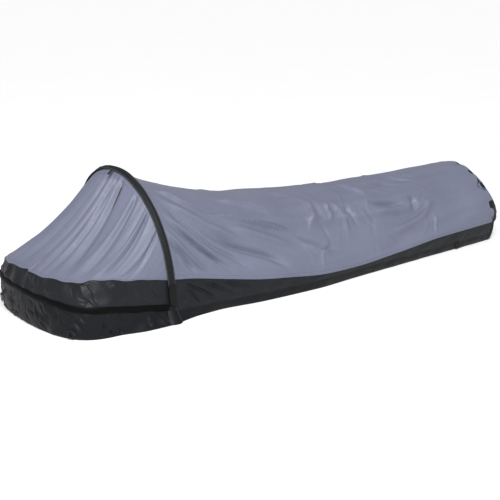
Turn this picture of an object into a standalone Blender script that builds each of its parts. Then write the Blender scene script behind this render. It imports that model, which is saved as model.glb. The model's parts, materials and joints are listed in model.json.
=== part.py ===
"""One-person hooped bivy sack, pitched and filled to its sleeping shape.

Units are metres. +Z is up, the head end is at -X and the foot end at +X. The ground is z = 0.
A person on their back has their left side at -Y and their right side at +Y.

The sack body is a dark floor tub, a pale canopy, a dark foot panel and the lower half of the zip.
The hood is the hoop pole in its sleeve with the pale front panel, the dark band, the upper half of
the zip and the insect mesh. It tips back towards the foot about the two feet of the hoop.
"""

import math

import bpy
import numpy as np
from mathutils import Matrix, Vector

# ---- overall shape ----------------------------------------------------------------------------
X_SHIFT = -0.0050                # centres the finished sack on the origin
X_HEAD = -1.038                  # outer face of the wall at the middle of the head end
X_HOOP = -0.628                  # foot of the hoop
X_FOOT = 1.012                   # where the canopy ends and the foot panel starts
FOOT_DEPTH = 0.037               # how far the foot end stands out beyond X_FOOT
FOOT_SQUARENESS = 4.0            # exponent of the foot end's rounded corners in plan
FOOT_BULGE = 0.018               # how far the filled end panel swells

# Cross sections from the hoop to the foot: the wall is tucked in by "tuck" at the floor and rolls
# out up to "wall", stands upright to "arch", and closes over in a superelliptic arch of the given
# exponent to "ridge".
SECTIONS = {
    "x": (-0.628, -0.585, -0.540, -0.480, -0.400, -0.240, 0.000, 0.200, 0.450, 0.700, 0.900, 1.012),
    "half": (0.2905, 0.289, 0.290, 0.296, 0.304, 0.315, 0.320, 0.304, 0.283, 0.262, 0.247, 0.236),
    "tuck": (-0.034, -0.020, -0.008, 0.006, 0.020, 0.012, 0.016, 0.022, 0.026, 0.028, 0.028, 0.028),
    "wall": (0.045, 0.055, 0.065, 0.075, 0.085, 0.095, 0.100, 0.100, 0.100, 0.100, 0.100, 0.100),
    "arch": (0.150, 0.147, 0.144, 0.138, 0.126, 0.112, 0.102, 0.102, 0.105, 0.110, 0.112, 0.115),
    "power": (2.00, 1.98, 1.96, 1.92, 1.85, 1.75, 1.70, 1.65, 1.65, 1.65, 1.65, 1.70),
    "ridge": (0.487, 0.464, 0.441, 0.417, 0.389, 0.353, 0.338, 0.333, 0.331, 0.333, 0.327, 0.303),
}
# Height of the seam between the dark lower fabric and the pale upper fabric.
SEAM = {
    "x": (-1.038, -0.995, -0.940, -0.860, -0.735, -0.628, -0.530, -0.400, -0.270, -0.130, 0.020,
          0.200, 0.450, 0.680, 1.050),
    "z": (0.168, 0.181, 0.190, 0.187, 0.168, 0.149, 0.136, 0.113, 0.090, 0.073, 0.057, 0.051,
          0.063, 0.078, 0.084),
}

# ---- head end ---------------------------------------------------------------------------------
HEAD_HALF = 0.2915               # half width of the head walls at the hoop
HEAD_STRAIGHT = (-0.860, 0.308)  # where the straight side of the head turns into its round corner
HEAD_CORNER_PULL = (0.150, 0.185)  # Bezier handle lengths of the round corner, side and front
HEAD_STRAIGHT_SHARE = 0.4        # share of the outline parameter spent on the straight side
HEAD_ROLL_HEIGHT = 0.045         # the head wall stands upright above this height
# How far the head wall is tucked in at the floor, along the outline from the hoop to the middle;
# below zero it flares out instead.
HEAD_TUCK = {"x": (0.0, 0.2, 0.4, 0.7, 1.0), "tuck": (-0.034, -0.026, 0.003, 0.010, 0.012)}
HEAD_LEAN = (0.112, 0.180, 0.030)  # between these heights the round end's wall leans in this far
HEAD_PANEL_SAG = 0.024           # how far the stretched front panel dips between hoop and seam
ZIP = {"x": (-1.038, -0.944, -0.860, X_HOOP), "z": (0.117, 0.103, 0.0930, 0.0495)}

# ---- hoop -------------------------------------------------------------------------------------
HOOP_HALF = 0.3000               # half width of the pole's centre line
HOOP_SPRING = 0.150              # height where the legs turn into the half ellipse
HOOP_RISE = 0.337                # height of the half ellipse
HOOP_LEAN = -0.085               # how far the hoop leans towards the head for each metre of height
HOOP_FOOT = 0.062                # lower end of the pole
POLE_SECTIONS = 4
POLE_OUTER = 0.00425
POLE_WALL = 0.0006
FERRULE_OUTER = 0.00305
FERRULE_WALL = 0.0006
FERRULE_LENGTH = 0.060
CORD_RADIUS = 0.0012
SLEEVE_HALF = (0.0135, 0.0065)   # half width along X, half thickness
SLEEVE_WALL = 0.0012
PIVOT_Z = 0.062                  # axis of the hood's tilt

# ---- fabric and small parts -------------------------------------------------------------------
FABRIC = 0.003                   # thickness of a coated fabric wall with its seam allowances
SEAM_GAP = 0.0008                # half the gap between two fabric pieces that are sewn together
ZIP_WINDOW = 0.004               # half height of the slot between tub and band that shows the coil
TAPE_HEIGHT = 0.016
TAPE_THICK = 0.001
TAPE_INSET = FABRIC + 0.0022
FLAP_STAND_OFF = 0.0042
FLAP_THICK = 0.0012
FLAP_SPAN = (-0.008, 0.008)      # lower and upper edge of the storm flap from the zip line
MESH_INSET = 0.016
MESH_THICK = 0.0012
POCKET_SIZE = (0.030, 0.013, 0.066)
POCKET_BASE = 0.056
POCKET_WALL = 0.0012
SLIDER_X = (-0.735, -0.772)      # rest places of the rear and the front slider
SLIDER_SIZE = (0.013, 0.0038, 0.0064)
SLIDER_BACK = -0.0034            # back of the slider, measured outwards from the wall's outer face
CROWN_LENGTH = 0.0060
CROWN_WIDTH = 0.0016
CROWN_CLEAR = 0.0021
PULL_SIZE = (0.022, 0.0012, 0.0050)
PULL_EYE = (0.0054, 0.0030, 0.0026)
HEAD_SHARES = (0.0, 0.1, 0.2, 0.3, 0.4, 0.5, 0.6, 0.7, 0.8, 0.9, 1.0)  # outline stations
SHOULDER_X = (-0.6115, -0.595, -0.550, -0.480, -0.395, -0.295, -0.195, -0.102)
BODY_X = (-0.098, 0.000, 0.090, 0.180, 0.290, 0.400, 0.510, 0.620, 0.730, 0.830, 0.920, 0.970, X_FOOT)
GUSSET_ROWS = ((0.0036, 0.034, 0.340), (0.024, 0.024, 0.316), (0.042, 0.017, 0.3040))  # z, half width, y
TUB_LEVEL = 0.045                # the tub's wall is straight above this height
TUB_SHARES = (0.0, 0.08, 0.25, 0.55, 1.0)  # rows of the tub's wall below that height
STRAP_X = (-0.260, 0.340)
STRAP_SIZE = (0.025, 0.46, 0.0015)
LOOP_OUTER = (0.030, 0.024)
LOOP_BAND = 0.0050
LOOP_THICK = 0.0020
LOOP_WALL_Z = (0.008, 0.034)     # heights between which a stake loop leans on the wall
LOOP_CLEAR = 0.0050
LOOP_PLACES = {"head": ("head", 0.66), "foot": ("body", 0.800)}


# ---- curves -----------------------------------------------------------------------------------
def smooth(table, column, x):
    """Value of a table's column at x, on a cubic through its entries that never overshoots."""
    xs, ys = np.array(table["x"]), np.array(table[column])
    x = float(np.clip(x, xs[0], xs[-1]))
    rises = np.diff(ys) / np.diff(xs)
    slopes = np.empty(len(xs))
    slopes[0], slopes[-1] = rises[0], rises[-1]
    for k in range(1, len(xs) - 1):
        same_way = rises[k - 1] * rises[k] > 0
        slopes[k] = 2 * rises[k - 1] * rises[k] / (rises[k - 1] + rises[k]) if same_way else 0.0
    k = int(np.clip(np.searchsorted(xs, x) - 1, 0, len(xs) - 2))
    width = xs[k + 1] - xs[k]
    t = (x - xs[k]) / width
    return (
        ys[k] * (1 + 2 * t) * (1 - t) ** 2
        + ys[k + 1] * t * t * (3 - 2 * t)
        + width * slopes[k] * t * (1 - t) ** 2
        - width * slopes[k + 1] * t * t * (1 - t)
    )


def seam_height(x):
    return smooth(SEAM, "z", x)


def zip_height(x):
    """Height of the zip line, exactly straight along the straight sides of the head."""
    return float(np.interp(x, ZIP["x"], ZIP["z"]))


def resample(points, count):
    """Evenly spaced points along a polyline."""
    points = np.asarray(points, float)
    steps = np.linalg.norm(np.diff(points, axis=0), axis=1)
    along = np.concatenate([[0.0], np.cumsum(steps)])
    wanted = np.linspace(0.0, along[-1], count)
    return np.column_stack([np.interp(wanted, along, column) for column in points.T])


def hoop_x(z):
    """Where the hoop's plane stands at height z."""
    return X_HOOP + HOOP_LEAN * (z - HOOP_FOOT)


def roll(z, wall, tuck):
    """How far the wall is tucked in at height z: a quarter ellipse, or a flare below zero."""
    if z >= wall:
        return 0.0
    if tuck < 0.0:
        return tuck * (1 - max(z, 0.0) / wall) ** 2
    return tuck * (1 - math.sqrt(1 - (1 - max(z, 0.0) / wall) ** 2))


def half_section(x, steps=40):
    """(y, z) points of the right half of the cross section, from the floor to the ridge."""
    half, wall, arch = (smooth(SECTIONS, name, x) for name in ("half", "wall", "arch"))
    power, ridge, tuck = (smooth(SECTIONS, name, x) for name in ("power", "ridge", "tuck"))
    points = []
    for k in range(steps):
        z = arch * k / steps
        points.append((half - roll(z, wall, tuck), z))
    for k in range(steps + 1):
        a = 0.5 * math.pi * k / steps
        y = half * max(math.cos(a), 0.0) ** (2 / power)
        points.append((y, arch + (ridge - arch) * math.sin(a) ** (2 / power)))
    return np.array(points)


def section_width(x, z):
    """Half width of the cross section at height z."""
    points = half_section(x)
    return float(np.interp(z, points[:, 1], points[:, 0]))


def canopy_line(x, count, lean=0.0):
    """Points over the canopy at x, left seam to right seam, leaning like the hoop if asked."""
    right = half_section(x)
    low = seam_height(x) + SEAM_GAP
    upper = right[right[:, 1] > low]
    right = np.vstack([[section_width(x, low), low], upper])
    left = right[:-1] * (-1, 1)
    both = np.vstack([left, right[::-1]])
    return np.array([(x + lean * (z - HOOP_FOOT), y, z) for y, z in resample(both, count)])


def head_plan(s):
    """Point and outward normal of the head's outline on the right side; s runs hoop to middle."""
    start = np.array((X_HOOP, HEAD_HALF))
    turn = np.array(HEAD_STRAIGHT)
    if s <= HEAD_STRAIGHT_SHARE:
        point = start + (turn - start) * s / HEAD_STRAIGHT_SHARE
        tangent = turn - start
    else:
        t = (s - HEAD_STRAIGHT_SHARE) / (1 - HEAD_STRAIGHT_SHARE)
        along = (turn - start) / np.linalg.norm(turn - start)
        a, d = turn, np.array((X_HEAD, 0.0))
        b, c = a + along * HEAD_CORNER_PULL[0], d + np.array((0.0, HEAD_CORNER_PULL[1]))
        point = a * (1 - t) ** 3 + 3 * b * t * (1 - t) ** 2 + 3 * c * t * t * (1 - t) + d * t**3
        tangent = (b - a) * (1 - t) ** 2 + 2 * (c - b) * t * (1 - t) + (d - c) * t * t
    tangent = tangent / np.linalg.norm(tangent)
    return point, np.array((tangent[1], -tangent[0]))


def head_point(s, side, z, inset=0.0):
    """Point of the head wall at height z, moved inwards by inset."""
    point, normal = head_plan(s)
    low, high, most = HEAD_LEAN
    rounded = min(s / 0.55, 1.0)
    lean = most * rounded * rounded * (3 - 2 * rounded) * (max(z - low, 0.0) / (high - low)) ** 1.5
    tucked = roll(z, HEAD_ROLL_HEIGHT, smooth(HEAD_TUCK, "tuck", s))
    x, y = point - normal * (tucked + lean + inset)
    return (x, side * y, z)


def head_stations(start=0.0, shares=HEAD_SHARES):
    """(s, side) pairs round the head from the left foot of the hoop to the right one."""
    half = [start] + [s for s in shares if s > start + 0.02]
    return [(s, -1) for s in half] + [(s, 1) for s in half[-2::-1]]


def head_share(x):
    """The outline parameter on the straight side at this x."""
    return HEAD_STRAIGHT_SHARE * (x - X_HOOP) / (HEAD_STRAIGHT[0] - X_HOOP)


def hoop_foot(side, z):
    """Matrix at a foot of the hoop whose Z runs up the leaning pole from height z."""
    place = Matrix.Translation((hoop_x(z), side * HOOP_HALF, z))
    return place @ Matrix.Rotation(math.atan(HOOP_LEAN), 4, "Y")


def hoop_line(rise=0.0, steps=48):
    """(y, z) points along the hoop, left foot to right foot, moved outwards by rise."""
    half, top = HOOP_HALF + rise, HOOP_RISE + rise
    legs = [(-half, HOOP_FOOT)]
    arch = []
    for k in range(steps + 1):
        a = math.pi * k / steps
        arch.append((-half * math.cos(a), HOOP_SPRING + top * math.sin(a)))
    return np.array(legs + arch + [(half, HOOP_FOOT)])


def above(points, low):
    """The part of a (y, z) line that runs over the top from height low to height low."""
    points = resample(points, 400)
    return points[points[:, 1] >= low]


# ---- mesh helpers -----------------------------------------------------------------------------
def material(name, colour, roughness, metallic=0.0):
    made = bpy.data.materials.new(name)
    made.use_nodes = True
    shader = made.node_tree.nodes["Principled BSDF"]
    shader.inputs["Base Color"].default_value = (*colour, 1.0)
    shader.inputs["Roughness"].default_value = roughness
    shader.inputs["Metallic"].default_value = metallic
    return made


def make_object(name, points, faces, finish, smooth_shaded=True):
    mesh = bpy.data.meshes.new(name)
    mesh.from_pydata([tuple(map(float, p)) for p in points], [], faces)
    mesh.materials.append(finish)
    mesh.update()
    if smooth_shaded:
        mesh.shade_smooth()
        mesh.set_sharp_from_angle(angle=math.radians(40))
    made = bpy.data.objects.new(name, mesh)
    bpy.context.scene.collection.objects.link(made)
    return made


def thicken(made, thickness):
    """Solidify inwards: the outer surface stays where it is."""
    layer = made.modifiers.new("Thickness", "SOLIDIFY")
    layer.thickness = thickness
    layer.offset = -1.0
    return made


def grid_faces(rows, columns):
    faces = []
    for i in range(rows - 1):
        for j in range(columns - 1):
            a = i * columns + j
            faces.append((a, a + columns, a + columns + 1, a + 1))
    return faces


def panel(name, grid, thickness, finish, inside=(0.0, 0.0, 0.1)):
    """Fabric panel from a grid of points, thickened towards the side where "inside" lies."""
    grid = np.asarray(grid, float)
    rows, columns = grid.shape[:2]
    points = grid.reshape(-1, 3)
    faces = grid_faces(rows, columns)
    facing = 0.0
    for face in faces:
        corners = points[list(face)]
        normal = np.cross(corners[2] - corners[0], corners[3] - corners[1])
        facing += float(np.dot(normal, corners.mean(axis=0) - np.array(inside)))
    if facing < 0:
        faces = [face[::-1] for face in faces]
    return thicken(make_object(name, points, faces, finish), thickness)


def box(name, size, finish, matrix, bevel=0.0004):
    """Bevelled block centred on the matrix's origin."""
    half = [0.5 * side for side in size]
    corners = [(x, y, z) for x in (-1, 1) for y in (-1, 1) for z in (-1, 1)]
    points = [tuple(c * h for c, h in zip(corner, half)) for corner in corners]
    faces = [(0, 1, 3, 2), (4, 6, 7, 5), (0, 4, 5, 1), (2, 3, 7, 6), (0, 2, 6, 4), (1, 5, 7, 3)]
    made = make_object(name, points, faces, finish)
    made.matrix_world = matrix
    if bevel:
        edge = made.modifiers.new("Edges", "BEVEL")
        edge.width = bevel
        edge.segments = 1
    return made


def ellipse_profile(half_wide, half_high, sides, power=2.0):
    """Closed (x, out) profile of a tube that runs along the hoop."""
    points = []
    for k in range(sides):
        a = 2 * math.pi * k / sides
        c, s = math.cos(a), math.sin(a)
        x = half_wide * math.copysign(abs(c) ** (2 / power), c)
        points.append((x, half_high * math.copysign(abs(s) ** (2 / power), s)))
    return points


def hoop_frame(distances):
    """Centre points and outward directions, in (y, z), at distances along the hoop's length."""
    line = resample(hoop_line(), 800)
    steps = np.linalg.norm(np.diff(line, axis=0), axis=1)
    along = np.concatenate([[0.0], np.cumsum(steps)])
    centres = np.column_stack([np.interp(distances, along, line[:, k]) for k in (0, 1)])
    ahead = np.column_stack([np.interp(distances + 0.004, along, line[:, k]) for k in (0, 1)])
    behind = np.column_stack([np.interp(distances - 0.004, along, line[:, k]) for k in (0, 1)])
    tangents = ahead - behind
    tangents /= np.linalg.norm(tangents, axis=1)[:, None]
    return centres, np.column_stack([-tangents[:, 1], tangents[:, 0]])


def hoop_length():
    line = resample(hoop_line(), 800)
    return float(np.linalg.norm(np.diff(line, axis=0), axis=1).sum())


def hoop_tube(name, distances, outer, inner, finish):
    """Tube along the hoop between its first and last distance; solid where inner is None."""
    centres, outs = hoop_frame(np.asarray(distances))
    sides, count = len(outer), len(centres)
    points, faces = [], []
    for profile in (outer, inner) if inner else (outer,):
        for (y, z), (out_y, out_z) in zip(centres, outs):
            for x, out in profile:
                points.append((hoop_x(z) + x, y + out * out_y, z + out * out_z))
    for layer in range(2 if inner else 1):
        base = layer * sides * count
        for i in range(count - 1):
            for j in range(sides):
                k = (j + 1) % sides
                a, b = base + i * sides, base + (i + 1) * sides
                face = (a + j, b + j, b + k, a + k)
                faces.append(face[::-1] if layer else face)
    if inner:
        last, hollow = (count - 1) * sides, sides * count
        for j in range(sides):
            k = (j + 1) % sides
            faces.append((j, k, hollow + k, hollow + j))
            faces.append((last + j, hollow + last + j, hollow + last + k, last + k))
    else:
        faces.append(tuple(range(sides)))
        faces.append(tuple(range((count - 1) * sides, count * sides))[::-1])
    return make_object(name, points, faces, finish)


def unite(target, other):
    """Join a hidden helper into the target."""
    other.hide_render = True
    other.display_type = "WIRE"
    join = target.modifiers.new("Join " + other.name, "BOOLEAN")
    join.operation = "UNION"
    join.object = other


def cut(target, other):
    other.hide_render = True
    other.display_type = "WIRE"
    hole = target.modifiers.new("Cut " + other.name, "BOOLEAN")
    hole.operation = "DIFFERENCE"
    hole.object = other


# ---- sack body --------------------------------------------------------------------------------
def tub_outline():
    """Stations round the tub: ("head", s, side), ("body", x, side) or ("foot", angle, side)."""
    head = [("head", s, side) for s, side in head_stations()]
    step = [("body", SHOULDER_X[0] - 0.0025, 1)]
    right = step + [("body", x, 1) for x in SHOULDER_X + BODY_X]
    corner = [("foot", a, 1) for a in (75, 60, 45, 30, 15)]
    left = [(kind, x, -1) for kind, x, _ in (right + corner)[::-1]]
    return head + right + corner + [("foot", 0, 1)] + left


def tub_top(kind, x):
    """Upper edge of the dark tub: the zip line round the head, the seam behind the hoop."""
    if kind == "head":
        return zip_height(head_plan(x)[0][0]) - ZIP_WINDOW
    if kind == "foot":
        return seam_height(X_FOOT) - SEAM_GAP
    if x < SHOULDER_X[0] - 0.001:
        return zip_height(X_HOOP) - ZIP_WINDOW
    return seam_height(x) - SEAM_GAP


def foot_point(angle, side, z):
    """Point of the foot end's wall at height z; angle 0 is its middle, 90 the canopy's end."""
    a = math.radians(angle)
    tucked = roll(z, SECTIONS["wall"][-1], SECTIONS["tuck"][-1])
    out = (FOOT_DEPTH - tucked) * math.cos(a) ** (2 / FOOT_SQUARENESS)
    y = section_width(X_FOOT, z) * math.sin(a) ** (2 / FOOT_SQUARENESS)
    return (X_FOOT + out, side * y, z)


def wall_point(kind, x, side, z):
    if kind == "head":
        return head_point(x, side, z)
    if kind == "foot":
        return foot_point(x, side, z)
    return (x, side * section_width(x, z), z)


def floor_tub(finish):
    """Floor and side walls in one piece, open at the top."""
    stations = tub_outline()
    count = len(stations)
    points = []
    for share in TUB_SHARES:
        for kind, x, side in stations:
            level = min(TUB_LEVEL, 0.85 * tub_top(kind, x))
            points.append(wall_point(kind, x, side, share * level))
    points += [wall_point(kind, x, side, tub_top(kind, x)) for kind, x, side in stations]
    faces = [tuple(range(count))]
    for ring in range(len(TUB_SHARES)):
        for j in range(count):
            k = (j + 1) % count
            a, b = ring * count, (ring + 1) * count
            faces.append((a + j, b + j, b + k, a + k))
    return thicken(make_object("floor_tub", points, faces, finish), FABRIC)


def shoulder_canopy(finish):
    """Pale fabric between the hoop and the filled body, which folds when the hood tips back."""
    leans = np.linspace(HOOP_LEAN, 0.0, len(SHOULDER_X))
    rows = [canopy_line(x, 17, lean) for x, lean in zip(SHOULDER_X, leans)]
    return panel("shoulder_canopy", rows, FABRIC, finish)


def body_canopy(finish):
    return panel("body_canopy", [canopy_line(x, 17) for x in BODY_X], FABRIC, finish)


def foot_panel(finish):
    """Dark end panel between the canopy's end arch and the tub's end wall."""
    arch = canopy_line(X_FOOT, 25)[1:-1]
    low = seam_height(X_FOOT) + 0.004
    angles = np.linspace(86, -86, len(arch))
    rows = []
    for t in (0.0, 0.25, 0.5, 0.75, 1.0):
        row = []
        for top, angle in zip(arch, angles):
            foot = np.array(foot_point(abs(angle), -1 if angle > 0 else 1, low))
            top = top + np.array((0.004, 0.0, -0.002))
            bulge = FOOT_BULGE * math.sin(math.pi * t) * min(1.0, (top[2] - low) / 0.1)
            row.append(top + (foot - top) * t + np.array((bulge, 0.0, 0.0)))
        rows.append(row)
    return panel("foot_panel", rows, FABRIC, finish, inside=(0.8, 0.0, 0.15))


def head_strip(name, heights, inset, thickness, finish, start=0.034, across=3):
    """Strip round the head; heights(x) gives its lower and upper edge."""
    rows = []
    for s, side in head_stations(start):
        x = head_plan(s)[0][0]
        low, high = heights(x)
        rows.append([head_point(s, side, z, inset) for z in np.linspace(low, high, across)])
    return panel(name, rows, thickness, finish, inside=(-0.7, 0.0, 0.1))


def zip_tape_lower(finish):
    def heights(x):
        return zip_height(x) - TAPE_HEIGHT, zip_height(x) - 0.0006

    return head_strip("zip_tape_lower", heights, TAPE_INSET, TAPE_THICK, finish, start=0.045)


def gusset(name, side, finish):
    """Stiff dark patch that runs from the foot of the hoop down to the floor's edge."""
    rows = []
    for z, half_wide, y in GUSSET_ROWS:
        row = []
        for t in (-1.0, -0.5, 0.0, 0.5, 1.0):
            hug = 0.004 * t * t
            row.append((X_HOOP - 0.004 + t * half_wide, side * (y - hug), z))
        rows.append(row)
    return panel(name, rows, 0.0022, finish, inside=(X_HOOP, 0.0, 0.03))


def pad_strap(name, x, finish):
    """Elastic strap across the floor that holds a sleeping mat."""
    return box(name, STRAP_SIZE, finish, Matrix.Translation((x, 0.0, 0.0060)))


def loop_frame(kind, x, side):
    """Matrix of a stake loop laid up against the wall: X up the wall, Y along it, Z out of it."""
    step = {"head": 0.03, "body": -0.01}[kind]
    low, high = (Vector(wall_point(kind, x, side, z)) for z in LOOP_WALL_Z)
    fore, aft = (Vector(wall_point(kind, x + d, side, LOOP_WALL_Z[0])) for d in (-step, step))
    up = (high - low).normalized()
    along = (fore - aft).normalized() * side
    out = up.cross(along).normalized()
    along = out.cross(up)
    place = 0.5 * (low + high) + out * LOOP_CLEAR - up * (0.5 * LOOP_OUTER[0])
    return Matrix.Translation(place) @ Matrix((up, along, out)).transposed().to_4x4()


def stake_loop(name, frame, finish):
    """Flat webbing ring; its origin is on the sewn edge and it reaches out along its X."""
    sides = 20
    hole = [side_length - 2 * LOOP_BAND for side_length in LOOP_OUTER]
    points = []
    for z in (0.0, LOOP_THICK):
        for length, width in (LOOP_OUTER, hole):
            for k in range(sides):
                a = 2 * math.pi * k / sides
                reach, across = (math.copysign(abs(v) ** 0.75, v) for v in (math.cos(a), math.sin(a)))
                x = 0.5 * LOOP_OUTER[0] + 0.5 * length * reach
                points.append((x, 0.5 * width * across, z))
    faces = []
    for j in range(sides):
        k = (j + 1) % sides
        for low, high, up in ((0, 1, False), (2, 3, True), (1, 3, False), (0, 2, True)):
            a, b = low * sides, high * sides
            face = (a + j, b + j, b + k, a + k)
            faces.append(face[::-1] if up else face)
    made = make_object(name, points, faces, finish)
    made.matrix_world = frame
    return made


# ---- hood -------------------------------------------------------------------------------------
def ruled_hood(ahead, inset, seam_inset, columns, rows, spread):
    """Grid stretched from the hoop to the head's seam line, dipping slightly in between."""
    base = seam_height(X_HOOP) + SEAM_GAP
    arch = resample(above(hoop_line(-inset), base), 200)
    seam = []
    for s, side in head_stations(0.05, np.linspace(0.05, 1.0, 60)):
        x = head_plan(s)[0][0]
        seam.append(head_point(s, side, seam_height(x), seam_inset))
    seam = resample(seam, 200)
    grid = []
    for u in np.linspace(spread[0], spread[1], columns):
        k = u * 199
        y, z = (np.interp(k, range(200), arch[:, c]) for c in (0, 1))
        top = np.array((hoop_x(z) - ahead, y, z))
        end = np.array([np.interp(k, range(200), seam[:, c]) for c in (0, 1, 2)])
        span = float(np.linalg.norm(end - top))
        column = []
        for t in np.linspace(0.0, 1.0 - min(0.006 / span, 0.2), rows):
            dip = HEAD_PANEL_SAG * min(1.0, span / 0.3) * math.sin(math.pi * t)
            column.append(top + (end - top) * t + dip * np.array((0.68, 0.0, -0.73)))
        grid.append(column)
    return grid


def hood_canopy(finish):
    grid = ruled_hood(0.018, 0.008, 0.0, 31, 6, spread=(0.02, 0.98))
    return panel("hood_canopy", grid, FABRIC, finish, inside=(-0.7, 0.0, 0.0))


def hood_band(finish):
    def heights(x):
        return zip_height(x) + ZIP_WINDOW, seam_height(x) - SEAM_GAP

    return head_strip("hood_band", heights, 0.0, FABRIC, finish, across=6)


def storm_flap(finish):
    def heights(x):
        return zip_height(x) + FLAP_SPAN[0], zip_height(x) + FLAP_SPAN[1]

    inset = -(FLAP_STAND_OFF + FLAP_THICK)
    return head_strip("storm_flap", heights, inset, FLAP_THICK, finish)


def zip_tape_upper(finish):
    def heights(x):
        return zip_height(x) + 0.0006, zip_height(x) + TAPE_HEIGHT

    return head_strip("zip_tape_upper", heights, TAPE_INSET, TAPE_THICK, finish, start=0.045)


def mesh_door(finish):
    """Insect mesh hung inside the front panel."""
    grid = ruled_hood(0.012, MESH_INSET + 0.006, MESH_INSET, 19, 5, spread=(0.14, 0.86))
    return panel("mesh_door", grid, MESH_THICK, finish, inside=(-0.7, 0.0, 0.0))


def mesh_zip_tape(finish):
    """Tape of the mesh's own zip, along its lower edge."""

    def heights(x):
        return seam_height(x) - 0.022, seam_height(x) - 0.006

    return head_strip("mesh_zip_tape", heights, MESH_INSET, TAPE_THICK, finish, start=0.12)


def pole_sleeve(finish):
    """Fabric tunnel sewn over the hoop, open at both ends above the pole pockets."""
    skip = (POCKET_BASE + POCKET_SIZE[2] + 0.004) - HOOP_FOOT
    outer = ellipse_profile(*SLEEVE_HALF, 10, power=2.4)
    inner = ellipse_profile(*(side - SLEEVE_WALL for side in SLEEVE_HALF), 10, power=2.4)
    along = np.linspace(skip, hoop_length() - skip, 41)
    return hoop_tube("pole_sleeve", along, outer, inner, finish)


def hoop_pole(finishes):
    """Four hollow sections on a shock cord, joined by spigots and closed by a tip at each end."""
    alloy, plastic, elastic = finishes
    length, gap, steps = hoop_length(), 0.0004, 48
    grid = np.linspace(0.0, length, steps + 1)
    outer = ellipse_profile(POLE_OUTER, POLE_OUTER, 10)
    inner = ellipse_profile(POLE_OUTER - POLE_WALL, POLE_OUTER - POLE_WALL, 10)
    for k in range(POLE_SECTIONS):
        span = grid[k * steps // POLE_SECTIONS : (k + 1) * steps // POLE_SECTIONS + 1].copy()
        span[0] += gap if k else 0.012
        span[-1] -= gap if k < POLE_SECTIONS - 1 else 0.012
        hoop_tube(f"pole_section_{k + 1}", span, outer, inner, alloy)
    ferrule = ellipse_profile(FERRULE_OUTER, FERRULE_OUTER, 10)
    bore = ellipse_profile(FERRULE_OUTER - FERRULE_WALL, FERRULE_OUTER - FERRULE_WALL, 10)
    for k in range(1, POLE_SECTIONS):
        middle = length * k / POLE_SECTIONS
        span = middle + np.linspace(-0.5, 0.5, 5) * FERRULE_LENGTH
        hoop_tube(f"pole_ferrule_{k}", span, ferrule, bore, alloy)
    cord = ellipse_profile(CORD_RADIUS, CORD_RADIUS, 6)
    hoop_tube("shock_cord", np.linspace(0.026, length - 0.026, 45), cord, None, elastic)
    for side, name in ((-1, "pole_tip_left"), (1, "pole_tip_right")):
        pole_tip(name, side, plastic)


def pole_tip(name, side, finish):
    """Turned plug: a spigot inside the pole's end and a ball foot below it."""
    profile = ((0.0, 0.0), (0.0024, 0.0006), (0.0036, 0.0030), (0.0036, 0.0080), (0.0029, 0.0116),
               (0.0029, 0.0245), (0.0, 0.0245))
    sides = 10
    points, faces = [(0.0, 0.0, profile[0][1])], []
    for radius, z in profile[1:-1]:
        for j in range(sides):
            a = 2 * math.pi * j / sides
            points.append((radius * math.cos(a), radius * math.sin(a), z))
    points.append((0.0, 0.0, profile[-1][1]))
    rings, last = len(profile) - 2, len(points) - 1
    for j in range(sides):
        k = (j + 1) % sides
        faces.append((0, 1 + k, 1 + j))
        for i in range(rings - 1):
            a, b = 1 + i * sides, 1 + (i + 1) * sides
            faces.append((a + j, a + k, b + k, b + j))
        top = 1 + (rings - 1) * sides
        faces.append((top + j, top + k, last))
    made = make_object(name, points, faces, finish)
    made.matrix_world = hoop_foot(side, HOOP_FOOT)


def pole_pocket(name, side, finish):
    """Reinforced pocket, open at the top, that the hoop's foot stands in."""
    middle = hoop_foot(side, POCKET_BASE) @ Matrix.Translation((0.0, 0.0, 0.5 * POCKET_SIZE[2]))
    made = box(name, POCKET_SIZE, finish, middle, bevel=0.0)
    hollow = [side_length - 2 * POCKET_WALL for side_length in POCKET_SIZE]
    raised = middle @ Matrix.Translation((0.0, 0.0, 2 * POCKET_WALL))
    cut(made, box(name + "_hollow", hollow, finish, raised, bevel=0.0))
    return made


def apex_tab(finish):
    """Small webbing tab at the top of the hoop, hinged where it leaves the sleeve."""
    slope = Vector((-0.80, 0.0, -0.60))
    away = Vector((slope.z, 0.0, -slope.x))
    top = HOOP_SPRING + HOOP_RISE
    origin = Vector((hoop_x(top) - 0.0158, -0.014, top - 0.001))
    made = box("apex_tab", (0.026, 0.012, 0.0018), finish, Matrix.Identity(4))
    for vertex in made.data.vertices:
        vertex.co.x += 0.013
    turn = Matrix((slope, Vector((0.0, 1.0, 0.0)), away)).transposed().to_4x4()
    made.matrix_world = Matrix.Translation(origin) @ turn
    return made


# ---- zip sliders ------------------------------------------------------------------------------
def zip_frame(x, side):
    """Matrix on the straight zip at x: local X towards the head, Y out of the wall, Z up it."""
    start = Vector((X_HOOP, side * HEAD_HALF, ZIP["z"][-1]))
    turn = Vector((HEAD_STRAIGHT[0], side * HEAD_STRAIGHT[1], ZIP["z"][-2]))
    along = (turn - start).normalized()
    out = Vector((along.y, -along.x, 0.0)).normalized() * side
    up = along.cross(out) * side
    place = start + (turn - start) * ((x - X_HOOP) / (HEAD_STRAIGHT[0] - X_HOOP))
    turned = Matrix((out.cross(up), out, up)).transposed().to_4x4()
    return Matrix.Translation(place) @ turned


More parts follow.
